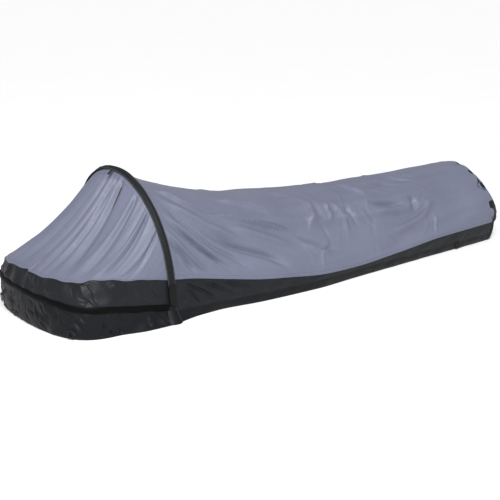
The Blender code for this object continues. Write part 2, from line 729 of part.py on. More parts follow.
def zip_slider(name, x, finish):
    """Slider body with the crown that holds its pull, a staple along the zip."""
    frame = zip_frame(x, 1)
    thick = SLIDER_SIZE[1]
    middle = SLIDER_BACK + 0.5 * thick
    face = SLIDER_BACK + thick
    body = box(name, SLIDER_SIZE, finish, frame @ Matrix.Translation((0.0, middle, 0.0)))
    post_size = (0.0010, CROWN_CLEAR + 0.0010, CROWN_WIDTH)
    for word, along in (("front", 0.5), ("rear", -0.5)):
        place = Matrix.Translation((along * CROWN_LENGTH, face + 0.5 * CROWN_CLEAR - 0.0001, 0.0))
        unite(body, box(f"{name}_post_{word}", post_size, finish, frame @ place, 0.0))
    bar_size = (CROWN_LENGTH + 0.0014, 0.0008, CROWN_WIDTH)
    bar = Matrix.Translation((0.0, face + CROWN_CLEAR + 0.0004, 0.0))
    unite(body, box(name + "_crown", bar_size, finish, frame @ bar, 0.0))
    return frame @ Matrix.Translation((0.0, face + 0.5 * CROWN_CLEAR, 0.0))


def zip_pull(name, hinge, facing, finish):
    """Flat pull lying along the zip; its end bar turns under the slider's crown."""
    if facing < 0:
        hinge = hinge @ Matrix.Rotation(math.pi, 4, "Z")
    reach = PULL_SIZE[0]
    bar = 0.5 * PULL_SIZE[1]
    pull = box(name, PULL_SIZE, finish, Matrix.Identity(4), bevel=0.0)
    for vertex in pull.data.vertices:
        vertex.co.x += 0.5 * reach - bar
    pull.matrix_world = hinge
    eye_middle = hinge @ Matrix.Translation((bar + 0.5 * PULL_EYE[0], 0.0, 0.0))
    cut(pull, box(name + "_eye", PULL_EYE, finish, eye_middle, bevel=0.0))


def mesh_zip_slider(finish):
    """One-piece slider on the inner mesh's zip, on the left inside the head."""
    x = -0.750
    height = seam_height(x) - 0.027
    s = head_share(x)
    place = Vector(head_point(s, -1, height, MESH_INSET))
    turn = zip_frame(x, -1).to_3x3().to_4x4()
    return box("mesh_zip_slider", (0.011, 0.0040, 0.0060), finish, Matrix.Translation(place) @ turn)


# ---- assembly ---------------------------------------------------------------------------------
def clear_scene():
    for leftover in list(bpy.data.objects):
        bpy.data.objects.remove(leftover, do_unlink=True)


def finishes():
    return {
        "pale_fabric": material("pale_fabric", (0.190, 0.200, 0.290), 0.55),
        "dark_fabric": material("dark_fabric", (0.025, 0.028, 0.033), 0.60),
        "sleeve": material("sleeve", (0.035, 0.038, 0.043), 0.70),
        "webbing": material("webbing", (0.010, 0.010, 0.012), 0.80),
        "mesh": material("mesh", (0.015, 0.015, 0.016), 0.85),
        "alloy": material("alloy", (0.62, 0.62, 0.64), 0.35, 1.0),
        "plastic": material("plastic", (0.020, 0.020, 0.022), 0.45),
        "elastic": material("elastic", (0.05, 0.05, 0.05), 0.80),
        "slider": material("slider", (0.030, 0.030, 0.032), 0.40, 0.6),
    }


def build_sack(finish):
    floor_tub(finish["dark_fabric"])
    shoulder_canopy(finish["pale_fabric"])
    body_canopy(finish["pale_fabric"])
    foot_panel(finish["dark_fabric"])
    zip_tape_lower(finish["webbing"])
    for side, word in ((-1, "left"), (1, "right")):
        gusset(f"gusset_{word}", side, finish["dark_fabric"])
        for end, (kind, x) in LOOP_PLACES.items():
            frame = loop_frame(kind, x, side)
            stake_loop(f"stake_loop_{end}_{word}", frame, finish["webbing"])
    for x, word in zip(STRAP_X, ("chest", "legs")):
        pad_strap(f"pad_strap_{word}", x, finish["webbing"])


def build_hood(finish):
    hood_canopy(finish["pale_fabric"])
    hood_band(finish["dark_fabric"])
    storm_flap(finish["dark_fabric"])
    zip_tape_upper(finish["webbing"])
    mesh_door(finish["mesh"])
    mesh_zip_tape(finish["webbing"])
    pole_sleeve(finish["sleeve"])
    hoop_pole((finish["alloy"], finish["plastic"], finish["elastic"]))
    for side, word in ((-1, "left"), (1, "right")):
        pole_pocket(f"pole_pocket_{word}", side, finish["webbing"])
    apex_tab(finish["webbing"])
    mesh_zip_slider(finish["slider"])


def build_zips(finish):
    for word, x in zip(("rear", "front"), SLIDER_X):
        hinge = zip_slider(f"zip_slider_{word}", x, finish["slider"])
        facing = (x - sum(SLIDER_X) / 2) / (X_HEAD - X_HOOP)
        zip_pull(f"zip_pull_{word}", hinge, facing, finish["slider"])


def parent_all(names, parent):
    """Hang the objects on an empty without moving them."""
    for name in names:
        made = bpy.data.objects[name]
        made.parent = parent
        made.matrix_parent_inverse = parent.matrix_world.inverted()


def empty(name, place):
    made = bpy.data.objects.new(name, None)
    made.location = place
    bpy.context.scene.collection.objects.link(made)
    return made


def main():
    clear_scene()
    finish = finishes()
    build_sack(finish)
    sack_names = [made.name for made in bpy.data.objects]
    build_zips(finish)
    zip_names = [made.name for made in bpy.data.objects if made.name not in sack_names]
    build_hood(finish)
    hood_names = [made.name for made in bpy.data.objects if made.name not in sack_names + zip_names]
    sack = empty("sack_frame", (0.0, 0.0, 0.0))
    hood = empty("hood_hinge", (X_HOOP, 0.0, PIVOT_Z))
    bpy.context.view_layer.update()
    parent_all(sack_names + zip_names, sack)
    parent_all(hood_names, hood)
    parent_all([hood.name], sack)
    sack.location.x = X_SHIFT


main()
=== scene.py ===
import functools
import json
import math

import bmesh
import bpy
import numpy as np
from mathutils import Matrix, Vector


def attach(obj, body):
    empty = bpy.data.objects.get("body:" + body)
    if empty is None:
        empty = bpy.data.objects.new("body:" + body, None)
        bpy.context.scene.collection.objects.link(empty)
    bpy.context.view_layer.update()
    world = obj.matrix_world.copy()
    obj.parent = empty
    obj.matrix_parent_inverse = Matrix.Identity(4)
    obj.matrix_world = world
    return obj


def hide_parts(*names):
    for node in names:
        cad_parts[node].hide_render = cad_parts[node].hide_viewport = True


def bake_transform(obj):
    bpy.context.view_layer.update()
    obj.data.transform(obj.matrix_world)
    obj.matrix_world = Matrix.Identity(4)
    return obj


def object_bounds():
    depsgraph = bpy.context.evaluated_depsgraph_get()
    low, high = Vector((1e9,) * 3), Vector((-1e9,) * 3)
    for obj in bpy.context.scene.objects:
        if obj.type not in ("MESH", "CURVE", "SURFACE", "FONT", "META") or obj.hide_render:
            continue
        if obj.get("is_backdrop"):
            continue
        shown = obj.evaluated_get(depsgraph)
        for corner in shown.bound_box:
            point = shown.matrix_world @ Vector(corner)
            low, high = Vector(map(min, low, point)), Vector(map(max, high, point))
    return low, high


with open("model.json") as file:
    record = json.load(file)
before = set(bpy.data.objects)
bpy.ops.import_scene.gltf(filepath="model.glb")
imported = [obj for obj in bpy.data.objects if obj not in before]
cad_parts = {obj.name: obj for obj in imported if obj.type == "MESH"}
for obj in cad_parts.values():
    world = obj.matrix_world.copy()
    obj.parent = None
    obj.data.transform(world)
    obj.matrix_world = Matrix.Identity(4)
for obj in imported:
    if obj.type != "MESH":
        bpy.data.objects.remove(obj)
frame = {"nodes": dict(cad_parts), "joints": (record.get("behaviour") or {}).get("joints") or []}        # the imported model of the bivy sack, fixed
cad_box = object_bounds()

# The sack lies along X with its head at -X; the sleeper's left side is -Y. All lengths are metres.
# "Own" coordinates are the frame's, moved so that the hoop stands at X_HOOP.

# ---- the shape, as the CAD parts have it ---------------------------------------------------------
X_HEAD = -1.038
X_HOOP = -0.628
X_FOOT = 1.012
FOOT_DEPTH = 0.037
FOOT_SQUARENESS = 4.0
SECTIONS = {
    "x": (-0.628, -0.585, -0.540, -0.480, -0.400, -0.240, 0.000, 0.200, 0.450, 0.700, 0.900, 1.012),
    "half": (0.2905, 0.289, 0.290, 0.296, 0.304, 0.315, 0.320, 0.304, 0.283, 0.262, 0.247, 0.236),
    "tuck": (-0.034, -0.020, -0.008, 0.006, 0.020, 0.012, 0.016, 0.022, 0.026, 0.028, 0.028, 0.028),
    "wall": (0.045, 0.055, 0.065, 0.075, 0.085, 0.095, 0.100, 0.100, 0.100, 0.100, 0.100, 0.100),
    "arch": (0.150, 0.147, 0.144, 0.138, 0.126, 0.112, 0.102, 0.102, 0.105, 0.110, 0.112, 0.115),
    "power": (2.00, 1.98, 1.96, 1.92, 1.85, 1.75, 1.70, 1.65, 1.65, 1.65, 1.65, 1.70),
    "ridge": (0.487, 0.464, 0.441, 0.417, 0.389, 0.353, 0.338, 0.333, 0.331, 0.333, 0.327, 0.303),
}
SEAM = {
    "x": (-1.038, -0.995, -0.940, -0.860, -0.735, -0.628, -0.530, -0.400, -0.270, -0.130, 0.020,
          0.200, 0.450, 0.680, 1.050),
    "z": (0.180, 0.187, 0.192, 0.187, 0.168, 0.149, 0.136, 0.113, 0.090, 0.073, 0.057, 0.051,
          0.063, 0.078, 0.084),
}
SEAM_DROP = (0.030, 0.62, 0.17)  # the right corner of the head sags: depth, outline share, spread
HEAD_HALF = 0.2915
HEAD_STRAIGHT = (-0.860, 0.308)
HEAD_CORNER_PULL = (0.150, 0.185)
HEAD_STRAIGHT_SHARE = 0.4
HEAD_ROLL_HEIGHT = 0.045
HEAD_TUCK = {"x": (0.0, 0.2, 0.4, 0.7, 1.0), "tuck": (-0.034, -0.026, 0.003, 0.010, 0.012)}
HEAD_LEAN = (0.112, 0.180, 0.030)
HEAD_PANEL_SAG = 0.024
ZIP = {"x": (-1.038, -0.944, -0.860, X_HOOP), "z": (0.117, 0.103, 0.0930, 0.0495)}
HOOP_HALF = 0.3000
HOOP_SPRING = 0.150
HOOP_RISE = 0.337
HOOP_LEAN = -0.085
HOOP_FOOT = 0.062
SHIFT = frame["joints"][0]["pos_m"][0] - X_HOOP   # own X to the frame's X

# ---- fabric ----------------------------------------------------------------------------------------
CLOTH = 0.0007                   # shown thickness of the coated nylon
RNG = np.random.default_rng(11)


def smooth(table, column, x):
    """A table's column at x (array or number), on a cubic through its entries that never overshoots."""
    xs, ys = np.array(table["x"]), np.array(table[column])
    x = np.clip(x, xs[0], xs[-1])
    rises = np.diff(ys) / np.diff(xs)
    slopes = np.zeros(len(xs))
    slopes[0], slopes[-1] = rises[0], rises[-1]
    same = rises[:-1] * rises[1:] > 0
    total = np.where(same, rises[:-1] + rises[1:], 1.0)
    slopes[1:-1] = np.where(same, 2 * rises[:-1] * rises[1:] / total, 0.0)
    k = np.clip(np.searchsorted(xs, x) - 1, 0, len(xs) - 2)
    width = xs[k + 1] - xs[k]
    t = (x - xs[k]) / width
    ends = ys[k] * (1 + 2 * t) * (1 - t) ** 2 + ys[k + 1] * t * t * (3 - 2 * t)
    return ends + width * (slopes[k] * t * (1 - t) ** 2 - slopes[k + 1] * t * t * (1 - t))


def ramp(t):
    """Smooth step from 0 to 1."""
    t = np.clip(t, 0.0, 1.0)
    return t * t * (3 - 2 * t)


def resample(points, count):
    """Points at even distances along a line of points."""
    along = distances(points)
    wanted = np.linspace(0.0, along[-1], count)
    return np.column_stack([np.interp(wanted, along, column) for column in points.T])


def distances(points):
    """Distance along a line of points, from the first one to each."""
    steps = np.linalg.norm(np.diff(points, axis=0), axis=1)
    return np.concatenate([[0.0], np.cumsum(steps)])


def unit(vectors):
    return vectors / (np.linalg.norm(vectors, axis=-1, keepdims=True) + 1e-12)


def shares(rows, columns):
    """Shares from 0 to 1 down the rows and across the columns of a grid."""
    return np.meshgrid(np.linspace(0, 1, rows), np.linspace(0, 1, columns), indexing="ij")


def path_length(points):
    return float(np.linalg.norm(np.diff(points, axis=0), axis=1).sum())


def zip_height(x):
    return np.interp(x, ZIP["x"], ZIP["z"])


def hoop_x(z):
    """X of the leaning hoop at height z."""
    return X_HOOP + HOOP_LEAN * (z - HOOP_FOOT)


def roll(z, wall, tuck):
    """How far the foot of the wall is rolled in at height z; it flares out where tuck is negative."""
    low = 1 - np.clip(z, 0.0, wall) / wall
    return np.where(tuck < 0, tuck * low**2, tuck * (1 - np.sqrt(np.clip(1 - low**2, 0, 1))))


@functools.lru_cache(maxsize=None)
def half_section(x, steps=90):
    """(y, z) points of the right half of the cross section, from the floor to the ridge."""
    half, wall, arch, power, ridge, tuck = (
        float(smooth(SECTIONS, name, x)) for name in ("half", "wall", "arch", "power", "ridge", "tuck")
    )
    z = arch * np.arange(steps) / steps
    side = np.column_stack([half - roll(z, wall, tuck), z])
    a = 0.5 * math.pi * np.arange(steps + 1) / steps
    y = half * np.clip(np.cos(a), 0, 1) ** (2 / power)
    over = np.column_stack([y, arch + (ridge - arch) * np.sin(a) ** (2 / power)])
    return np.vstack([side, over])


def section_width(x, z):
    """Half width of the cross section at x and height z."""
    points = half_section(float(x))
    return np.interp(z, points[:, 1], points[:, 0])


def head_plan(s):
    """Point and outward normal of the head's outline on the right side; s runs hoop to middle."""
    start, turn = np.array((X_HOOP, HEAD_HALF)), np.array(HEAD_STRAIGHT)
    if s <= HEAD_STRAIGHT_SHARE:
        point, tangent = start + (turn - start) * s / HEAD_STRAIGHT_SHARE, turn - start
    else:
        t = (s - HEAD_STRAIGHT_SHARE) / (1 - HEAD_STRAIGHT_SHARE)
        along = (turn - start) / np.linalg.norm(turn - start)
        a, d = turn, np.array((X_HEAD, 0.0))
        b, c = a + along * HEAD_CORNER_PULL[0], d + np.array((0.0, HEAD_CORNER_PULL[1]))
        point = a * (1 - t) ** 3 + 3 * b * t * (1 - t) ** 2 + 3 * c * t * t * (1 - t) + d * t**3
        tangent = (b - a) * (1 - t) ** 2 + 2 * (c - b) * t * (1 - t) + (d - c) * t * t
    tangent = tangent / np.linalg.norm(tangent)
    return point, np.array((tangent[1], -tangent[0]))


def seam_z(x):
    """Height of the seam between dark and pale fabric."""
    return float(smooth(SEAM, "z", x))


def head_point(s, side, z, out=0.0):
    """Point of the head wall at height z, moved outwards by out."""
    point, normal = head_plan(s)
    low, high, most = HEAD_LEAN
    rounded = ramp(s / 0.55)
    lean = most * rounded * (max(z - low, 0.0) / (high - low)) ** 1.5
    tucked = float(roll(z, HEAD_ROLL_HEIGHT, float(smooth(HEAD_TUCK, "tuck", s))))
    x, y = point - normal * (tucked + lean - out)
    return np.array((x, side * y, z))


def head_walk(count, start=0.0):
    """(s, side) pairs round the head, left foot of the hoop to right foot, evenly spaced."""
    fine = np.linspace(start, 1.0, 400)
    line = np.array([head_plan(s)[0] for s in fine])
    along = distances(line)
    half = np.interp(np.linspace(0.0, along[-1], count // 2 + 1), along, fine)
    return [(s, -1) for s in half] + [(s, 1) for s in half[-2::-1]]


def hoop_line(rise=0.0, steps=160):
    """(y, z) points along the pole, left foot to right foot, moved outwards by rise."""
    half, top = HOOP_HALF + rise, HOOP_RISE + rise
    a = math.pi * np.arange(steps + 1) / steps
    arch = np.column_stack([-half * np.cos(a), HOOP_SPRING + top * np.sin(a)])
    return np.vstack([[(-half, HOOP_FOOT)], arch, [(half, HOOP_FOOT)]])


# ---- folds -----------------------------------------------------------------------------------------
def rounded(path):
    """A line of straight pieces with its corners cut twice."""
    path = np.array(path, float)
    for _ in range(2):
        a, b = path[:-1], path[1:]
        inner = np.stack([0.75 * a + 0.25 * b, 0.25 * a + 0.75 * b], axis=1).reshape(-1, 2)
        path = np.vstack([path[:1], inner[1:-1], path[-1:]]) if len(path) > 2 else path
    return path


def along_path(u, v, path):
    """Signed distance to a path on the cloth and the share of the path reached."""
    path = rounded(path)
    steps = np.diff(path, axis=0)
    lengths = np.hypot(steps[:, 0], steps[:, 1])
    nearest = np.full(u.shape, 1e9)
    signed, share, start = np.zeros(u.shape), np.zeros(u.shape), 0.0
    for (a_u, a_v), (d_u, d_v), length in zip(path[:-1], steps, lengths):
        t = np.clip(((u - a_u) * d_u + (v - a_v) * d_v) / length**2, 0, 1)
        off_u, off_v = u - a_u - t * d_u, v - a_v - t * d_v
        gap = np.hypot(off_u, off_v)
        here = gap < nearest
        nearest[here] = gap[here]
        signed[here] = (gap * np.sign(d_u * off_v - d_v * off_u))[here]
        share[here] = ((start + t * length) / lengths.sum())[here]
        start += length
    return signed, share


def near_path(u, v, path, reach):
    """Indices of the cloth places that a path can touch."""
    path = np.array(path, float)
    low, high = path.min(axis=0) - reach, path.max(axis=0) + reach
    return np.nonzero((u > low[0]) & (u < high[0]) & (v > low[1]) & (v < high[1]))


def fold(u, v, path, height, width, lean=0.0, taper=0.3):
    """Rounded ridge along a path, or a valley where height is negative; lean steepens one flank."""
    total = np.zeros(np.shape(u))
    here = near_path(u, v, path, 4.5 * width)
    s, t = along_path(u[here], v[here], path)
    wide = np.where(s > 0, width * (1 + lean), width * (1 - lean))
    total[here] = height * ramp(t / taper) * ramp((1 - t) / taper) * np.exp(-((s / wide) ** 2))
    return total


def crease(u, v, path, height, width, lip=1.0, taper=0.3):
    """Sharp valley with a raised lip on one side: where slack cloth has folded over."""
    total = np.zeros(np.shape(u))
    here = near_path(u, v, path, 9 * width)
    s, t = along_path(u[here], v[here], path)
    ends = ramp(t / taper) * ramp((1 - t) / taper)
    raised = np.exp(-(((s - lip * 2.4 * width) / (2.2 * width)) ** 2))
    total[here] = height * ends * (0.85 * raised - np.exp(-((s / width) ** 2)))
    return total


def swell(u, v, wavelength, count=24, stretch=1.0):
    """Smooth irregular swelling between about -1 and 1."""
    total = np.zeros(np.shape(u))
    for _ in range(count):
        angle, phase = RNG.uniform(0, 2 * math.pi, 2)
        k = 2 * math.pi / (wavelength * RNG.uniform(0.7, 1.5))
        total += np.cos(k * (u * math.cos(angle) + v * math.sin(angle) * stretch) + phase)
    return total / math.sqrt(count)


def scattered(u, v, count, area, angle, spread, length, width, height):
    """Many short folds at seeded places; angle may be a number or a function of the place."""
    total = np.zeros(np.shape(u))
    for _ in range(count):
        a = RNG.uniform(area[0], area[1])
        b = RNG.uniform(area[2], area[3])
        way = (angle(a, b) if callable(angle) else angle) + RNG.normal(0, spread)
        reach = RNG.uniform(0.5, 1.0) * length * 0.5
        bend = RNG.normal(0, 0.22) * reach
        d_u, d_v = math.cos(way), math.sin(way)
        path = [
            (a - d_u * reach, b - d_v * reach),
            (a - d_v * bend, b + d_u * bend),
            (a + d_u * reach, b + d_v * reach),
        ]
        lean = RNG.uniform(-0.6, 0.6)
        tall = height * RNG.uniform(0.4, 1.0) * (1 if RNG.random() < 0.6 else -1)
        total += fold(u, v, path, tall, width * RNG.uniform(0.6, 1.3), lean, 0.45)
    return total


# ---- mesh helpers ------------------------------------------------------------------------------------
def grid_normals(grid, outward_from):
    """Unit normals of a grid of points, pointing away from a place."""
    du = np.gradient(grid, axis=0)
    dv = np.gradient(grid, axis=1)
    normal = unit(np.cross(du, dv))
    facing = ((grid - np.array(outward_from)) * normal).sum()
    return normal if facing > 0 else -normal


def grid_uv(grid):
    """Distances over the cloth, in metres, from its first row and its middle column."""
    du = np.linalg.norm(np.diff(grid, axis=0), axis=2).mean(axis=1)
    dv = np.linalg.norm(np.diff(grid, axis=1), axis=2)
    u = np.concatenate([[0.0], np.cumsum(du)])[:, None] * np.ones(grid.shape[1])
    v = np.concatenate([np.zeros((grid.shape[0], 1)), np.cumsum(dv, axis=1)], axis=1)
    return u, v - v[:, grid.shape[1] // 2][:, None]


def linked(name, data):
    """New object of the scene that shows some data."""
    made = bpy.data.objects.new(name, data)
    bpy.context.scene.collection.objects.link(made)
    return made


def mesh_object(name, points, faces, material, sharp_from=None):
    mesh = bpy.data.meshes.new(name)
    mesh.from_pydata(np.asarray(points, float).tolist(), [], faces)
    mesh.materials.append(material)
    mesh.update()
    mesh.shade_smooth()
    if sharp_from:
        mesh.set_sharp_from_angle(angle=math.radians(sharp_from))
    return linked(name, mesh)


def apply_modifiers(made):
    graph = bpy.context.evaluated_depsgraph_get()
    mesh = bpy.data.meshes.new_from_object(made.evaluated_get(graph))
    made.modifiers.clear()
    old, made.data = made.data, mesh
    bpy.data.meshes.remove(old)
    mesh.shade_smooth()
    mesh.set_sharp_from_angle(angle=math.radians(50))


def grid_faces(rows, columns, closed=False):
    """Faces between the points of a grid; closed joins its last row to its first."""
    faces = []
    for i in range(rows if closed else rows - 1):
        low, high = i * columns, ((i + 1) % rows) * columns
        for j in range(columns - 1):
            faces.append((low + j, high + j, high + j + 1, low + j + 1))
    return faces


def cloth_sheet(name, grid, material, outward_from, thickness=CLOTH, closed=False):
    """Sheet from a grid of own points, thickened inwards, with cloth distances as its UV map."""
    grid = np.asarray(grid, float)
    rows, columns = grid.shape[:2]
    points = grid.reshape(-1, 3) + np.array((SHIFT, 0.0, 0.0))
    faces = grid_faces(rows, columns, closed)
    corners = grid.reshape(-1, 3)[np.array(faces[: (rows - 1) * (columns - 1)])]
    normal = np.cross(corners[:, 2] - corners[:, 0], corners[:, 3] - corners[:, 1])
    if (normal * (corners.mean(axis=1) - np.array(outward_from))).sum() < 0:
        faces = [face[::-1] for face in faces]
    made = mesh_object(name, points, faces, material)
    u, v = (distance.reshape(-1) for distance in grid_uv(grid))
    layer = made.data.uv_layers.new(name="Cloth")
    loops = np.empty(len(made.data.loops), np.int32)
    made.data.loops.foreach_get("vertex_index", loops)
    layer.data.foreach_set("uv", np.column_stack([u[loops], v[loops]]).astype(np.float32).ravel())
    if thickness:
        thicken = made.modifiers.new("Thickness", "SOLIDIFY")
        thicken.thickness = thickness
        thicken.offset = -1.0
        thicken.use_even_offset = False
        apply_modifiers(made)
    return made


def stitches(name, path, normals, material, pitch=0.0042, length=0.0028, width=0.0007, high=0.0004):
    """A row of raised thread stitches along a path of own points."""
    along = distances(path)
    places = np.arange(pitch, along[-1] - pitch, pitch)

    def at(data, where):
        return np.column_stack([np.interp(where, along, column) for column in data.T])

    middle, up = at(path, places), unit(at(normals, places))
    ahead = unit(at(path, places + 0.5 * length) - at(path, places - 0.5 * length))
    across = np.cross(up, ahead)
    ring = ((-0.5, 0.0, 0.0), (-0.3, 0.5, 0.6), (0.3, 0.5, 0.6),
            (0.5, 0.0, 0.0), (0.3, -0.5, 0.6), (-0.3, -0.5, 0.6))
    points, faces = [], []
    for m, n, t, c in zip(middle, up, ahead, across):
        base = len(points)
        for a, b, h in ring:
            points.append(m + t * a * length + c * b * width + n * (h * high - 0.0001))
        points += [m + n * high + t * k * length for k in (-0.28, 0.28)]
        points.append(m - n * 0.0004)
        top_a, top_b, under = base + 6, base + 7, base + 8
        faces += [
            (base, base + 1, top_a), (base + 1, base + 2, top_b, top_a), (base + 2, base + 3, top_b),
            (base + 3, base + 4, top_b), (base + 4, base + 5, top_a, top_b), (base + 5, base, top_a),
        ]
        faces += [(under, base + (k + 1) % 6, base + k) for k in range(6)]
    return mesh_object(name, np.array(points) + np.array((SHIFT, 0, 0)), faces, material)


# ---- materials ---------------------------------------------------------------------------------------
class Nodes:
    """A material's node tree with short ways to add to it."""

    def __init__(self, name):
        self.material = bpy.data.materials.new(name)
        self.material.use_nodes = True
        self.tree = self.material.node_tree
        self.shader = self.tree.nodes["Principled BSDF"]

    def add(self, kind, inputs=(), **settings):
        made = self.tree.nodes.new(kind)
        for key, value in settings.items():
            setattr(made, key, value)
        for key, value in dict(inputs).items():
            self.feed(made.inputs[key], value)
        return made

    def feed(self, socket, value):
        if isinstance(value, bpy.types.NodeSocket):
            self.tree.links.new(value, socket)
        else:
            socket.default_value = value

    def math(self, operation, a, b=0.0):
        return self.add("ShaderNodeMath", {0: a, 1: b}, operation=operation).outputs[0]

    def noise(self, place, scale, detail=3.0, roughness=0.5, distortion=0.0):
        inputs = {"Vector": place, "Scale": scale, "Detail": detail, "Roughness": roughness}
        return self.add("ShaderNodeTexNoise", inputs | {"Distortion": distortion}).outputs["Fac"]

    def remap(self, value, low, high, to_low, to_high):
        inputs = {"Value": value, "From Min": low, "From Max": high, "To Min": to_low, "To Max": to_high}
        return self.add("ShaderNodeMapRange", inputs).outputs[0]

    def mix(self, share, a, b):
        made = self.add("ShaderNodeMix", data_type="RGBA")
        for socket, value in ((0, share), (6, a), (7, b)):
            self.feed(made.inputs[socket], value)
        return made.outputs[2]

    def bump(self, height, distance, strength=1.0, onto=None):
        inputs = {"Height": height, "Distance": distance, "Strength": strength}
        made = self.add("ShaderNodeBump", inputs)
        if onto:
            self.feed(made.inputs["Normal"], onto)
        return made.outputs[0]


PALE = (0.097, 0.105, 0.149)
DARK = (0.0068, 0.0074, 0.0092)
WEAVE_PITCH = 0.0004


def shade_of(colour, factor):
    return (*(min(c * factor, 1.0) for c in colour), 1.0)


def nylon(name, colour, roughness, sheen, ripstop=0.0055, crumple=0.0012, wear=0.06, shine=0.30):
    """Coated nylon: plain weave, a ripstop grid, faint crumples, and cloudy tone."""
    n = Nodes(name)
    cloth = n.add("ShaderNodeUVMap", uv_map="Cloth").outputs[0]
    solid = n.add("ShaderNodeTexCoord").outputs["Object"]
    split = n.add("ShaderNodeSeparateXYZ", {0: cloth})
    u, v = split.outputs[0], split.outputs[1]

    def lines(place, pitch, thin):
        wave = n.math("SINE", n.math("MULTIPLY", place, math.pi / pitch))
        return n.math("POWER", n.math("ABSOLUTE", wave), thin)

    grid = n.math("MAXIMUM", lines(u, ripstop, 24.0), lines(v, ripstop, 24.0))
    weave = n.math("MULTIPLY", lines(u, WEAVE_PITCH, 1.0), lines(v, WEAVE_PITCH, 1.0))
    cloud = n.noise(solid, 5.0, 3.0)
    fine = n.noise(solid, 38.0, 5.0, 0.62, 0.6)
    faded, deep = shade_of(colour, 1 + wear), shade_of(colour, 1 - wear)
    tone = n.mix(n.remap(cloud, 0.3, 0.7, 0.0, 1.0), deep, faded)
    tone = n.mix(n.remap(fine, 0.35, 0.75, 0.0, 0.22), tone, shade_of(colour, 1.16))
    tone = n.mix(n.math("MULTIPLY", grid, 0.22), tone, shade_of(colour, 0.78))
    n.feed(n.shader.inputs["Base Color"], tone)
    n.feed(n.shader.inputs["Roughness"], n.remap(fine, 0.25, 0.8, roughness - 0.06, roughness + 0.10))
    n.shader.inputs["Sheen Weight"].default_value = sheen
    n.shader.inputs["Sheen Roughness"].default_value = 0.45
    n.shader.inputs["Sheen Tint"].default_value = (0.9, 0.92, 1.0, 1.0)
    n.shader.inputs["Specular IOR Level"].default_value = shine
    crumples = n.noise(solid, 22.0, 4.0, 0.55, 0.9)
    normal = n.bump(crumples, crumple, 0.55)
    normal = n.bump(grid, 0.00012, 0.6, normal)
    normal = n.bump(weave, 0.00003, 0.5, normal)
    n.feed(n.shader.inputs["Normal"], normal)
    return n.material


def webbing(name, colour, roughness=0.75, rib=0.0012):
    """Woven tape: ribs across its length and a faint chevron of thread."""
    n = Nodes(name)
    solid = n.add("ShaderNodeTexCoord").outputs["Object"]
    split = n.add("ShaderNodeSeparateXYZ", {0: solid})
    slant = n.math("ADD", split.outputs[0], split.outputs[1])
    ribs = n.math("SINE", n.math("MULTIPLY", slant, 2 * math.pi / rib))
    cross = n.math("SINE", n.math("MULTIPLY", split.outputs[2], 2 * math.pi / rib))
    weave = n.math("MULTIPLY", ribs, cross)
    fuzz = n.noise(solid, 220.0, 3.0)
    tone = n.mix(n.remap(weave, -1.0, 1.0, 0.0, 1.0), shade_of(colour, 0.75), shade_of(colour, 1.35))
    tone = n.mix(n.remap(fuzz, 0.4, 0.8, 0.0, 0.4), tone, shade_of(colour, 1.9))
    n.feed(n.shader.inputs["Base Color"], tone)
    n.feed(n.shader.inputs["Roughness"], n.remap(fuzz, 0.3, 0.7, roughness - 0.08, roughness + 0.1))
    n.shader.inputs["Sheen Weight"].default_value = 0.02
    n.shader.inputs["Specular IOR Level"].default_value = 0.2
    normal = n.bump(weave, 0.00015, 0.7)
    n.feed(n.shader.inputs["Normal"], n.bump(fuzz, 0.0002, 0.4, normal))
    return n.material


def thread(name, colour):
    n = Nodes(name)
    solid = n.add("ShaderNodeTexCoord").outputs["Object"]
    twist = n.noise(solid, 900.0, 2.0)
    n.feed(n.shader.inputs["Base Color"], n.mix(twist, shade_of(colour, 0.7), shade_of(colour, 1.3)))
    n.shader.inputs["Roughness"].default_value = 0.6
    n.feed(n.shader.inputs["Normal"], n.bump(twist, 0.0001, 0.5))
    return n.material


def netting(name, colour):
    """Insect mesh: a fine hexagonal net with real holes."""
    n = Nodes(name)
    cloth = n.add("ShaderNodeUVMap", uv_map="Cloth").outputs[0]
    cells = n.add("ShaderNodeTexVoronoi", {"Vector": cloth, "Scale": 620.0, "Randomness": 0.15},
                  feature="DISTANCE_TO_EDGE").outputs["Distance"]
    strand = n.remap(cells, 0.10, 0.20, 1.0, 0.0)
    n.feed(n.shader.inputs["Alpha"], n.math("MAXIMUM", strand, 0.12))
    cloud = n.noise(cloth, 30.0, 2.0)
    n.feed(n.shader.inputs["Base Color"], n.mix(cloud, shade_of(colour, 0.8), shade_of(colour, 1.3)))
    n.shader.inputs["Roughness"].default_value = 0.8
    return n.material


def metal(name, colour, roughness, metallic=1.0, grain=140.0):
    """Drawn or cast metal with faint scratches and a worn tone."""
    n = Nodes(name)
    solid = n.add("ShaderNodeTexCoord").outputs["Object"]
    worn = n.noise(solid, grain, 4.0, 0.6)
    n.feed(n.shader.inputs["Base Color"], n.mix(worn, shade_of(colour, 0.82), shade_of(colour, 1.12)))
    n.feed(n.shader.inputs["Roughness"], n.remap(worn, 0.3, 0.7, roughness - 0.07, roughness + 0.1))
    n.shader.inputs["Metallic"].default_value = metallic
    n.feed(n.shader.inputs["Normal"], n.bump(n.noise(solid, 900.0, 3.0), 0.00004, 0.5))
    return n.material


